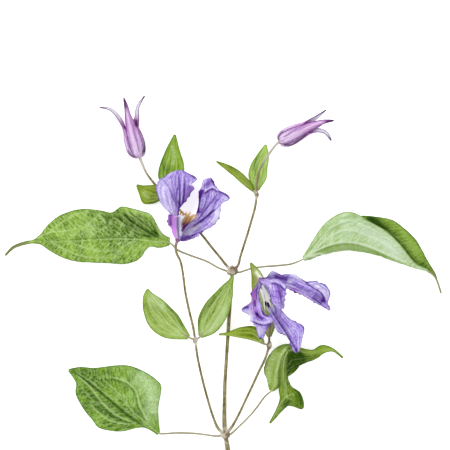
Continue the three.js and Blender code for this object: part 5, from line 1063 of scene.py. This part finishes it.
def blade_part(name, shape, steps, thickness, relief, lines, walls=nothing, ribs=nothing, frill=0):
    """A thin blade with rounded margins, painted with the strokes of the piece with that name.

    Relief lifts both faces, ribs thicken the under face, and frill makes the margin uneven, all in mm.
    """
    rows, half = steps
    u = np.linspace(0, 1, rows + 1)
    t_half = np.linspace(0, 1, half + 1)[1:]
    uu, tt = np.meshgrid(u, np.concatenate([-t_half[::-1], [0], t_half]), indexing="ij")
    width = np.where(tt < 0, half_width(shape["left"], u), half_width(shape["right"], u))
    s = np.broadcast_to(length_so_far(along(shape["spine"], u))[:, None], uu.shape)
    at = SimpleNamespace(u=uu, t=tt, s=s, v=tt * width, width=width)

    sheet = blade_grid(shape, u, t_half)
    sheet = sheet + normals_of(sheet) * relief(at)[..., None]
    normal = normals_of(sheet)
    thin = thickness * (0.5 - 0.28 * np.abs(tt) ** 3)[..., None]
    upper = sheet + normal * thin
    under = sheet - normal * (thin + ribs(at)[..., None])
    rim = sheet.copy()
    for edge, inner, seed in ((-1, -2, 7), (0, 1, 31)):
        outwards = unit(sheet[:, edge] - sheet[:, inner])
        crisp = frill * (blotches(s[:, edge] * 0.9, seed + 0 * u, seed) - 0.55) * np.sin(np.pi * u) ** 0.3
        for surface in (upper, under, rim):
            surface[:, edge] += outwards * crisp[:, None]
        rim[:, edge] += outwards * thickness * RIM_SHARE
    points = wrap(upper, under, rim).reshape(-1, 3)
    points[:, 2] = np.maximum(points[:, 2], TABLE_CLEARANCE)

    def vectors(*channels):
        """Three values for each point, each given on top, on the back and on the rim."""
        return np.stack([wrap(*channel) for channel in channels], axis=-1).reshape(-1, 3)

    zero = nothing(at)
    top = stroked(name, upper, tt, "upper")
    back = stroked(name, under, tt, "under")
    top["vein"] = np.maximum(lines(at), top["vein"])
    back["vein"] = np.maximum(lines(at), back["vein"])
    strokes = {kind: (top[kind], back[kind], top[kind]) for kind in top}
    values = {
        "place": vectors([uu] * 3, [tt] * 3, (zero, zero + 1, zero + 0.5)),
        "marks": vectors(strokes["vein"], [walls(at)] * 3, strokes["tone"]),
        "tints": vectors(strokes["pale"], strokes["deep"], strokes["warm"]),
        "span": vectors([s] * 3, [at.v] * 3, [(1 - np.abs(tt)) * width] * 3),
    }
    return points, blade_faces(rows + 1, 2 * half + 1), values


# Leaves and tepals


def vein_strength(at, sharp, arcs):
    """How strongly each point lies on the midrib or one of the arched veins, from 0 to 1."""
    strength = np.exp(-((at.v / (sharp * 1.25)) ** 2)) * np.clip(1.15 - at.u, 0, 1)
    for places, strengths in VEINS:
        line = along(places, at.u)
        slope = np.gradient(line * at.width, axis=0) / np.maximum(np.gradient(at.s, axis=0), 1e-6)
        away = (np.abs(at.t) - line) * at.width / np.sqrt(1 + slope**2)
        strength = np.maximum(strength, arcs * np.exp(-((away / sharp) ** 2)) * along(strengths, at.u))
    return strength


def leaf_piece(name, shape):
    looks = LEAF_LOOKS[name]
    quilt, cell, arcs = looks["quilt"], looks["cell"], looks["arcs"]
    seed = looks["seed"] + len(name)

    def net(at):
        warp = 1.6 * (blotches(at.s / 5, at.v / 5, seed) - 0.5)
        x = (at.s - 0.55 * np.abs(at.v)) / (cell * 1.2) + warp
        y = at.v / (cell * 0.8) + warp
        return cells(x, y, seed)

    def relief(at):
        wall, own = net(at)
        dome = smoothstep(wall, 0, 0.55) * (0.7 + 0.6 * own)
        groove = 1.1 * vein_strength(at, 1, arcs)
        waves = 0.6 * (blotches(at.s / 9, at.v / 9 + 40, seed) - 0.5) * np.abs(at.t)
        calm = np.clip(at.width / 5, 0, 1) * (1 - at.u**6)
        return calm * (quilt * (dome - groove) + waves)

    def lines(at):
        return vein_strength(at, 0.38, arcs)

    def walls(at):
        return 1 - smoothstep(net(at)[0], 0, 0.2)

    def ribs(at):
        depth = 0.75 * MIDRIB_DEPTH * np.clip(at.width / 3, 0.1, 1)
        return depth * vein_strength(at, 0.55, arcs) ** 1.5 * (1 - at.u)

    blades = [(shape, LARGE_LEAF_MESH if "rows" in shape else SMALL_LEAF_MESH)]
    blades += [(lobe, LOBE_MESH) for lobe in shape.get("lobes", [])]
    parts = []
    for blade, steps in blades:
        parts.append(blade_part(name, blade, steps, LEAF_THICKNESS, relief, lines, walls, ribs))
    spine = shape["spine"]
    inside = along(spine, [0.6 / (len(spine) - 1)])[0].tolist()
    path = shape["stalk"] + [spine[0], inside]
    radii = [LEAF_STALK_RADIUS, LEAF_STALK_RADIUS * 0.9, LEAF_STALK_RADIUS, 0.4]
    stalk = tube_part(path, radii, 12, 12 * (len(path) - 1))
    slot = "young_leaf" if "bud" in name else "leaf"
    make_piece(name, slot, (looks["colours"], parts), ("leaf_stalk", [stalk]))


def tepal_piece(name, shape, seed):
    def ribbing(at):
        return ridges(at.t, 0.05, 0.17, 0.8)

    def relief(at):
        fan = (blotches(at.u * 3 + 7, at.t * 9, seed) - 0.5) * np.clip(at.width / 6, 0, 1)
        crisp = (blotches(at.u * 15, at.t * 1.5, seed + 2) - 0.5) * np.abs(at.t) ** 3
        fade = np.sin(np.pi * np.clip(at.u, 0.02, 0.98)) ** 0.5
        return fade * (0.7 * fan + 1.5 * crisp - 0.28 * ribbing(at))

    def ribs(at):
        return 0.16 * ribbing(at) * (1 - at.u)

    part = blade_part(name, shape, TEPAL_MESH, TEPAL_THICKNESS, relief, ribbing, ribs=ribs, frill=1.1)
    make_piece(name, "tepal", ("tepal", [part]))


# Stamens


def random_from(seed):
    """Seeded random numbers from 0 to 1, the same ones as the solid model's."""
    state = seed
    while True:
        state = (state * 1664525 + 1013904223) % 4294967296
        yield state / 4294967296


def anther_lobes(u, turn):
    return 0.1 * np.cos(2 * turn) * smoothstep(u, 0.5, 0.6)


def stamens_piece(name, slot):
    bunch = STAMENS[name]
    random = random_from(bunch["seed"])
    forward = unit(np.array(bunch["axis"], float))
    root = np.array(bunch["base"], float) + forward * (RECEPTACLE_RADIUS + SEAT_GAP)
    filament = FILAMENT_RADIUS * np.array([1.2, 0.8, 0.75, 0.8])
    anther = ANTHER_RADIUS * np.array([0.95, 1, 0.9])
    radii = np.concatenate([filament, anther, [0.12]])
    parts = [egg_part(root + forward * 1.5, forward, 1.7, 1.2)]
    for share, reach_out, size, stray, painted_to in (PLAIN_THREADS, FINE_THREADS[slot]):
        for start_row, end_row, count in bunch["tips"]:
            threads = round(count * share)
            for k in range(threads):
                reach = (k + 0.5) / threads
                tip = np.array(start_row) * (1 - reach) + np.array(end_row) * reach
                tip = tip + (np.array([next(random) for _ in range(3)]) - 0.5) * stray
                tip = root + (tip - root) * reach_out
                start = root + forward + across_from(forward, tip - root) * 0.09
                middle = (start + tip) / 2 + forward * 1.5
                thread = tube_part([start, middle, tip], radii * size, 8, 20, anther_lobes)
                thread[2]["place"][:, 0] *= painted_to
                parts.append(thread)
    make_piece(name, slot, (slot, parts))


# Buds


def bud_relief(at):
    keel = ridges(at.t, 0.12, 0.42, 0.7)
    lip = np.exp(-(((np.abs(at.t) - 1) / 0.08) ** 2))
    return (-0.45 * keel - 0.25 * lip) * (1 - smoothstep(at.u, 0.55, 0.9))


def bud_lines(at):
    return ridges(at.t, 0.1, 0.42, 0.8)


def bud_piece(name, shape):
    axis = np.array(shape["axis"], float)
    radii = np.array(shape["radii"])
    forward = unit(axis[-1] - axis[0])
    level = unit(across_from(forward, np.array([0.0, 0, -1])))
    side = {"width": [1, *radii[:5] * 0.8, 1.9, 1.2, 0.4], "curl": [46] * 6 + [30, 20, 20]}
    blades = []
    for tip in shape["tips"]:
        outward = circle(forward, level, np.radians([tip["turn"]]))[0]
        spine = [axis[0] - forward * 0.5 + outward * 0.9]
        spine += [axis[k] + outward * (radii[k] - 0.3) for k in range(5)]
        up = [-outward] * 6 + [-outward + [0, 0, tip["open"]]] * 3
        blade = {"spine": spine + tip["points"], "up": up, "left": side, "right": side}
        blades.append(blade_part(name, blade, BUD_TEPAL_MESH, TEPAL_THICKNESS, bud_relief, bud_lines))
    core = tube_part(axis, radii * 0.8, 24, 24)
    make_piece(name, "bud", ("bud", blades), ("bud_core", [core]))


# Stem


def one_skin(parts):
    """Parts that run into each other as one smoothed skin: its points in mm, and its faces."""
    rough = mesh_of("stem_rough", *joined(parts))
    rough.update()
    body = placed("stem_rough", rough)
    remesh = body.modifiers.new("remesh", "REMESH")
    remesh.mode = "VOXEL"
    remesh.voxel_size = STEM_VOXEL * MM
    smooth = body.modifiers.new("smooth", "SMOOTH")
    smooth.iterations = 4
    smooth.factor = 0.5
    bpy.context.view_layer.update()
    skin = bpy.data.meshes.new_from_object(body.evaluated_get(bpy.context.evaluated_depsgraph_get()))
    flat = np.zeros(len(skin.vertices) * 3)
    skin.vertices.foreach_get("co", flat)
    bpy.data.objects.remove(body)
    return flat.reshape(-1, 3) / MM, [list(polygon.vertices) for polygon in skin.polygons]


def run_samples():
    """Places along the runs: centre, direction, length so far, green, pale, flower's end and furrow."""
    rows = []
    for run in STEM_RUNS:
        u = np.linspace(0, 1, 16 * (len(run["points"]) - 1) + 1)
        centres = along(run["points"], u)
        ahead = unit(np.gradient(centres, axis=0))
        start, end = run["green"]
        green = start + (end - start) * u
        pale = smoothstep(u, run["pale_from"], 1) if "pale_from" in run else 0 * u
        flower_end = smoothstep(u, 0.85, 1) if "flower" in run else 0 * u
        furrow = 0 * u + run.get("furrow", FURROW_DEPTH)
        gone = length_so_far(centres)
        rows.append(np.column_stack([centres, ahead, gone, green, pale, flower_end, furrow]))
    return np.concatenate(rows)


def stem_piece():
    parts = []
    for run in STEM_RUNS:
        radii = run["radius"] * np.array(run["shares"])
        parts.append(tube_part(run["points"], radii, 14, 10 * (len(run["points"]) - 1)))
    parts += [egg_part(*swelling) for swelling in STEM_SWELLINGS]
    points, faces = one_skin(parts)

    samples = run_samples()
    tree = kdtree.KDTree(len(samples))
    for k, centre in enumerate(samples[:, :3].tolist()):
        tree.insert(Vector(centre), k)
    tree.balance()
    here = samples[[tree.find(Vector(point))[1] for point in points.tolist()]]
    centres, ahead = here[:, :3], here[:, 3:6]
    gone, green, pale, flower_end, furrow = here[:, 6:].T

    level = unit(np.cross(ahead, [0, 0, 1]))
    over = np.cross(level, ahead)
    away = points - centres
    turn = np.arctan2(np.sum(away * over, axis=1), np.sum(away * level, axis=1))
    joint = np.zeros(len(points))
    for centre, _, half_length, _ in STEM_SWELLINGS:
        distance = np.linalg.norm(points - centre, axis=1)
        joint = np.maximum(joint, 1 - smoothstep(distance, half_length * 0.9, half_length * 2.2))
    outward = unit(away - ahead * np.sum(away * ahead, axis=1, keepdims=True))
    points = points + outward * (furrow * np.cos(turn * 6) * (1 - joint))[:, None]
    values = {
        "place": np.column_stack([gone, turn / (2 * np.pi) + 0.5, joint]),
        "tints": np.column_stack([green, pale, flower_end]),
    }
    make_piece("stem", "stem", ("stem", [(points, faces, values)]))


# Materials. A colour code is the colour as seen in this scene's light. A colour given as numbers
# is the surface's own, except the bright leaf, underside, tepal and magenta colours, painted light that
# is lighter than any colour code gives, and the bud's throat colour, painted shade.

WHITE = (1, 1, 1, 1)
FLOOR_GREY = (0.8, 0.8, 0.8, 1)
# Painted light, lighter than any colour code gives, where pale or magenta goes beyond 1: for places in
# shade and for sheen
LEAF_PAINTED_LIGHT = (0.86, 0.88, 0.76, 1)
UNDERSIDE_PAINTED_LIGHT = (0.8, 0.86, 0.8, 1)
TEPAL_PAINTED_LIGHT = (0.92, 0.88, 0.98, 1)
MAGENTA_PAINTED_LIGHT = (0.56, 0.24, 0.72, 1)
# Painted shade deep in a bud's throat, dark magenta
BUD_THROAT_SHADE = (0.48, 0.16, 0.5, 1)
DEEP_GREEN = "384806"
WITHERED = "8f8a62"


def colour(code):
    """The surface that looks like a colour such as 7fa54a in this scene's light."""
    parts = [int(code[k : k + 2], 16) / 255 for k in (0, 2, 4)]
    linear = [c / 12.92 if c <= 0.04045 else ((c + 0.055) / 1.055) ** 2.4 for c in parts]
    return [max(c - HAZE, 0.002) / LIT for c in linear] + [1]


class Finish:
    """A material's nodes, made one after the other."""

    def __init__(self, name, roughness, specular, subsurface=0):
        self.material = bpy.data.materials.new(name)
        self.material.use_nodes = True
        self.tree = self.material.node_tree
        self.shader = self.tree.nodes["Principled BSDF"]
        self.put(self.shader, {
            "Roughness": roughness,
            "Specular IOR Level": specular,
            "Subsurface Weight": subsurface,
            "Subsurface Radius": (0.0008, 0.0012, 0.0008),
            "Subsurface Scale": 1,
        })
        place = self.add("ShaderNodeTexCoord", {})["Object"]
        self.mm = self.add("ShaderNodeVectorMath", {0: place, "Scale": 1 / MM}, operation="SCALE")[0]

    def put(self, node, inputs):
        """Gives a node's inputs their numbers and colours, or links them to other nodes' outputs."""
        for key, value in inputs.items():
            if isinstance(value, bpy.types.NodeSocket):
                self.tree.links.new(value, node.inputs[key])
            else:
                node.inputs[key].default_value = colour(value) if isinstance(value, str) else value

    def add(self, kind, inputs, **settings):
        """The outputs of a new node."""
        node = self.tree.nodes.new(kind)
        for key, value in settings.items():
            setattr(node, key, value)
        self.put(node, inputs)
        return node.outputs

    def attribute(self, name):
        vector = self.add("ShaderNodeAttribute", {}, attribute_name=name)["Vector"]
        split = self.add("ShaderNodeSeparateXYZ", {0: vector})
        return split[0], split[1], split[2]

    def calc(self, operation, a, b=0, c=0, clamp=False):
        return self.add("ShaderNodeMath", {0: a, 1: b, 2: c}, operation=operation, use_clamp=clamp)[0]

    def weighed(self, start, *terms):
        """A number plus terms, each a value and its weight."""
        for value, weight in terms:
            start = self.calc("MULTIPLY_ADD", value, weight, start)
        return start

    def remap(self, value, low, high, to_low=0, to_high=1):
        inputs = {"Value": value, "From Min": low, "From Max": high, "To Min": to_low, "To Max": to_high}
        return self.add("ShaderNodeMapRange", inputs, interpolation_type="SMOOTHSTEP")["Result"]

    def stretched(self, x, x_scale, y, y_scale, z=0):
        """A vector in which x and y change faster or slower."""
        x, y = self.calc("MULTIPLY", x, x_scale), self.calc("MULTIPLY", y, y_scale)
        return self.add("ShaderNodeCombineXYZ", {0: x, 1: y, 2: z})[0]

    def noise(self, where, scale, detail=2, rough=0.5):
        inputs = {"Vector": where, "Scale": scale, "Detail": detail, "Roughness": rough}
        return self.add("ShaderNodeTexNoise", inputs)[0]

    def patches(self, where, scale, low, high, detail=2, rough=0.5):
        """Noise with more contrast: 0 below low and 1 above high."""
        return self.remap(self.noise(where, scale, detail, rough), low, high)

    def walls(self, where, scale):
        inputs = {"Vector": where, "Scale": scale}
        return self.add("ShaderNodeTexVoronoi", inputs, feature="DISTANCE_TO_EDGE")["Distance"]

    def mix(self, factor, a, b):
        return self.add("ShaderNodeMix", {0: factor, 6: a, 7: b}, data_type="RGBA")[2]

    def ramp(self, value, low, middle, high, first, second, third):
        """Three colours, each passing into the next as the value rises."""
        base = self.mix(self.remap(value, low, middle), first, second)
        return self.mix(self.remap(value, middle, high), base, third)

    def paint(self, base, amount, paint, strength=1):
        """A paint over the base, by an amount times a strength, and fully from 1 on."""
        return self.mix(self.calc("MULTIPLY", amount, strength, clamp=True), base, paint)

    def paint_more(self, base, amount, paint):
        """A paint over the base, by what an amount has above 1."""
        return self.mix(self.calc("SUBTRACT", amount, 1, clamp=True), base, paint)

    def done(self, base, height=None, strength=0, distance=0):
        """The material, with its colour and bumps that a height gives over a distance in metres."""
        self.put(self.shader, {"Base Color": base})
        if height is not None:
            inputs = {"Strength": strength, "Distance": distance, "Height": height}
            bump = self.add("ShaderNodeBump", inputs)
            self.put(self.shader, {"Normal": bump[0]})
        return self.material


def leaf_material(name, upper_codes, under_codes, mottle, lengthways):
    f = Finish(name, 0.55, 0.04, 0.12)
    upper, under = upper_codes.split(), under_codes.split()
    _, t, side = f.attribute("place")
    main, wall, tone = f.attribute("marks")
    pale, deep, warm = f.attribute("tints")
    s, v, margin = f.attribute("span")
    if lengthways:
        slope = f.stretched(t, 8, s, 0.08, side)
    else:
        aside = f.calc("ABSOLUTE", v)
        slope = f.stretched(f.weighed(s, (aside, -0.8)), 0.6, f.weighed(aside, (s, 0.8)), 0.16, side)
    streaks = f.patches(slope, 1, 0.3, 0.7)
    lines = f.patches(slope, 1.25, 0.54, 0.62, detail=1)
    broad = f.patches(f.mm, 0.09, 0.36, 0.64, detail=1)
    grain = f.patches(f.mm, 1.1, 0.3, 0.7, rough=0.7)
    fine = f.remap(f.walls(f.mm, 0.5), 0.02, 0.16, 1, 0)
    # Tone from the strokes lightens or darkens the leaf; in places it is painted shade in folds and hollows
    shade = f.weighed(0.15 - 0.5 * mottle, (streaks, 0.45), (broad, 0.25), (grain, mottle), (tone, 0.35))
    rim = f.remap(margin, 0.25, 0.75, 1, 0)
    dark_green = f.mix(grain, DEEP_GREEN, upper[0])

    def face(dark, middle, light, vein, net):
        body = f.ramp(shade, 0.15, 0.58, 0.95, dark, middle, light)
        for amount, strength in ((lines, 1.5), (fine, 0.8), (wall, 1.3)):
            body = f.paint(body, amount, vein, strength * mottle * net)
        return body

    top = face(*upper, 1)
    # Deep darkens and pale lightens: the leaf's own marks, and in places painted shadow in folds and under
    # curled parts, painted highlights and painted sheen; pale beyond 1 is painted light lighter than any
    # colour code gives
    top = f.paint(top, deep, dark_green)
    top = f.paint(top, pale, f.mix(grain, upper[2], "d6e8bf"))
    top = f.paint_more(top, pale, LEAF_PAINTED_LIGHT)
    top = f.paint(top, warm, WITHERED)
    top = f.paint(top, main, upper[3], 0.7)
    top = f.paint(top, rim, upper[0], 0.6)
    back = face(*under, 0.8)
    # The same on the under face; deep beyond 1 turns to the darkest green, painted shade
    back = f.paint(back, deep, upper[1])
    back = f.paint_more(back, deep, dark_green)
    back = f.paint(back, warm, WITHERED)
    back = f.paint(back, pale, f.mix(grain, under[2], "e6f2e6"))
    back = f.paint_more(back, pale, UNDERSIDE_PAINTED_LIGHT)
    back = f.paint(back, main, under[3], 0.7)
    back = f.paint(back, rim, upper[1], 0.5)
    base = f.mix(f.remap(side, 0.4, 0.6), top, back)
    return f.done(base, f.weighed(0, (grain, 0.7), (fine, -0.6)), 0.5, 0.0003)


def tepal_material():
    f = Finish("tepal", 0.6, 0.08, 0.35)
    u, t, side = f.attribute("place")
    main, _, tone = f.attribute("marks")
    pale, deep, magenta = f.attribute("tints")
    _, _, margin = f.attribute("span")
    streaks = f.patches(f.stretched(u, 2.6, t, 9), 1, 0.34, 0.66, rough=0.6)
    broad = f.patches(f.mm, 0.16, 0.38, 0.62)
    crinkle = f.patches(f.mm, 0.75, 0.34, 0.66, rough=0.6)
    # Tone from the strokes darkens the tepal; in places it is painted shade in its crinkles
    shade = f.weighed(0, (broad, 0.2), (streaks, 0.5), (crinkle, 0.3), (tone, 0.35))
    inner = f.ramp(shade, 0.12, 0.5, 0.95, "e4dcff", "c0aaf3", "8c65c9")
    outer = f.ramp(shade, 0.12, 0.5, 0.95, "e0d4fb", "bca4ec", "956ecb")
    base = f.mix(f.remap(side, 0.4, 0.6), inner, outer)
    base = f.paint(base, main, "7a4cb6", 0.35)
    # Magenta: the tepals' own colour, and on the steep front tepal of the left flower the painted shade of
    # its shaded side; beyond 1 it is painted light lighter than any colour code gives
    base = f.paint(base, magenta, f.mix(streaks, "da9af0", "bc6cd8"))
    base = f.paint_more(base, magenta, MAGENTA_PAINTED_LIGHT)
    # Pale: paler marks, painted highlights and the painted light of lit sides; beyond 1 it is painted light
    # lighter than any colour code gives
    base = f.paint(base, pale, f.mix(shade, "faf8ff", "d8cefc"))
    base = f.paint_more(base, pale, TEPAL_PAINTED_LIGHT)
    # Deep: veins and dark marks, and painted shade on shaded sides and under curled margins
    base = f.paint(base, deep, f.mix(streaks, "7446ac", "43206c"))
    rim = f.calc("MULTIPLY", f.remap(margin, 0.2, 0.6, 1, 0), broad)
    base = f.paint(base, rim, "5b3488", 0.8)
    return f.done(base, f.weighed(streaks, (crinkle, 0.6)), 0.5, 0.0004)


def bud_material():
    f = Finish("bud", 0.5, 0.12, 0.25)
    u, t, side = f.attribute("place")
    keel, _, tone = f.attribute("marks")
    pale, deep, magenta = f.attribute("tints")
    _, _, margin = f.attribute("span")
    threads = f.patches(f.stretched(u, 3, t, 7), 1, 0.36, 0.64, rough=0.6)
    grain = f.patches(f.mm, 0.9, 0.36, 0.64)
    shade = f.weighed(0, (grain, 0.3), (threads, 0.7))
    outer = f.mix(f.remap(shade, 0.15, 0.85), "f0d8fa", "c095ce")
    outer = f.paint(outer, f.remap(keel, 0.2, 0.9), "f4e2fb", 0.5)
    outer = f.paint(outer, f.remap(u, 0.35, 0.65), "c070c8", 0.45)
    outer = f.paint(outer, tone, "9a78a8", 0.75)
    outer = f.paint(outer, magenta, "c07cc8")
    outer = f.paint(outer, f.remap(u, 0.09, 0), "c9a49a", 0.8)
    inner = f.mix(f.remap(shade, 0.2, 0.8), "fbf8ff", "e2d6f2")
    # Painted shade: the inner face turns dark magenta towards the throat
    inner = f.mix(f.remap(u, 0.8, 0.66), inner, BUD_THROAT_SHADE)
    base = f.mix(f.remap(side, 0.4, 0.6), inner, outer)
    base = f.paint(base, pale, "f3dcf8")
    base = f.paint(base, deep, "4e2058")
    base = f.paint(base, f.remap(u, 0.9, 1), "4e1c5c", 0.9)
    base = f.paint(base, f.remap(margin, 0.2, 0.7, 1, 0), "6d3a7c", 0.7)
    return f.done(base, threads, 0.5, 0.0003)


def stem_material():
    f = Finish("stem", 0.55, 0.12)
    gone, turn, joint = f.attribute("place")
    green, pale, flower_end = f.attribute("tints")
    streak = f.patches(f.stretched(gone, 0.1, turn, 7), 1, 0.36, 0.64, rough=0.6)
    blotch = f.patches(f.mm, 0.35, 0.36, 0.64)
    shade = f.weighed(0, (blotch, 0.4), (streak, 0.6))
    base = f.mix(f.remap(shade, 0.1, 0.9), "5a4c36", "a89e80")
    base = f.paint(base, green, "9a9c62", 0.8)
    # Painted highlight: lighter grey along each run's upper left side; the next line paints its right and
    # lower side yellow-brown
    base = f.paint(base, f.remap(turn, 0.84, 0.98), "c9c3b2", 0.8)
    base = f.paint(base, f.remap(turn, 0.62, 0.52), "b8a878", 0.6)
    base = f.paint(base, joint, f.mix(blotch, "8e7a6a", "e2dccb"), 0.8)
    base = f.mix(pale, base, f.mix(streak, "c4bfb4", "e6e2d8"))
    base = f.mix(flower_end, base, f.mix(streak, "8a6484", "c8a4c4"))
    return f.done(base, f.weighed(streak, (f.noise(f.mm, 3), 0.4)), 0.3, 0.0002)


def stalk_material():
    f = Finish("leaf_stalk", 0.5, 0.12)
    u, turn, _ = f.attribute("place")
    streak = f.noise(f.stretched(u, 4, turn, 6), 1)
    base = f.mix(f.remap(streak, 0.38, 0.62), "948e74", "c0bc9c")
    base = f.mix(f.remap(u, 0.75, 1), base, "b4c688")
    return f.done(base, streak, 0.3, 0.0002)


def thread_material(name, low, middle, high):
    f = Finish(name, 0.6, 0.1)
    u, _, _ = f.attribute("place")
    grain = f.patches(f.mm, 1.6, 0.36, 0.64)
    base = f.mix(f.remap(u, 0.42, 0.62), low, middle)
    base = f.paint(base, grain, low, 0.3)
    base = f.mix(f.remap(u, 0.6, 0.72), base, high)
    return f.done(base, grain, 0.5, 0.0003)


def bud_core_material():
    f = Finish("bud_core", 0.6, 0.2)
    grain = f.noise(f.mm, 0.8, 3)
    return f.done(f.mix(f.remap(grain, 0.35, 0.65), "8a5c98", "a77fb4"), grain, 0.1, 0.0002)


def floor_material():
    """A white light table."""
    f = Finish("floor", 0.9, 0)
    f.put(f.shader, {"Emission Color": WHITE, "Emission Strength": FLOOR_GLOW})
    return f.done(FLOOR_GREY)


# The scene
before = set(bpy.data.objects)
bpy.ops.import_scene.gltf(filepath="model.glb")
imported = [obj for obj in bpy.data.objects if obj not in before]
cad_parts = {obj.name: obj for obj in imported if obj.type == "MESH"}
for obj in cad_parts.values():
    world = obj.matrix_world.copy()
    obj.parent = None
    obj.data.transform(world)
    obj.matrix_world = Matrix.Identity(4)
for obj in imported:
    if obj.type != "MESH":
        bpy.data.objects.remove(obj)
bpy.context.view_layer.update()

MATERIALS = {
    "leaf_stalk": stalk_material(),
    "tepal": tepal_material(),
    "bud": bud_material(),
    "bud_core": bud_core_material(),
    "golden_stamens": thread_material("golden_stamens", "7c4a88", "c69a70", "e6bc84"),
    "cream_stamens": thread_material("cream_stamens", "ffffff", "fffbee", "1e0c1c"),
    "stem": stem_material(),
}
for colours_name, settings in LEAF_COLOURS.items():
    MATERIALS[colours_name] = leaf_material(colours_name, *settings)

for leaf_name, leaf_shape in LEAVES.items():
    leaf_piece(leaf_name, leaf_shape)
for tepal_seed, (tepal_name, tepal_shape) in enumerate(TEPALS.items(), FIRST_TEPAL_SEED):
    tepal_piece(tepal_name, tepal_shape, tepal_seed)
stamens_piece("flower_left_stamens", "golden_stamens")
stamens_piece("flower_right_stamens", "cream_stamens")
for bud_name, bud_shape in BUDS.items():
    bud_piece(bud_name, bud_shape)
stem_piece()

# Floor, light and camera
corners = np.array([[-1, -1, 0], [1, -1, 0], [1, 1, 0], [-1, 1, 0]])
floor_mesh = mesh_of("floor", corners * FLOOR_HALF_SIZE, [[0, 1, 2, 3]])
floor_mesh.materials.append(floor_material())
floor = placed("floor", floor_mesh)

world = bpy.data.worlds.new("studio")
bpy.context.scene.world = world
world.use_nodes = True
world.node_tree.nodes["Background"].inputs["Color"].default_value = WHITE
world.node_tree.nodes["Background"].inputs["Strength"].default_value = SURROUNDING_LIGHT

for lamp_name, (lamp_place, lamp_size, watts) in LAMPS.items():
    lamp = bpy.data.lights.new(lamp_name, "AREA")
    lamp.shape = "DISK"
    lamp.size = lamp_size
    lamp.energy = watts
    holder = placed(lamp_name, lamp)
    holder.location = lamp_place
    holder.rotation_euler = (-Vector(lamp_place)).to_track_quat("-Z", "Y").to_euler()

lens = bpy.data.cameras.new("camera")
lens.sensor_width = SENSOR_WIDTH
lens.lens = SENSOR_WIDTH * (CAMERA_HEIGHT - MIDDLE_LEVEL) / FRAME_WIDTH
camera = placed("camera", lens)
camera.location = [value * MM for value in (*CAMERA_OVER, CAMERA_HEIGHT)]
bpy.context.scene.camera = camera
bpy.context.scene.view_settings.view_transform = "Standard"
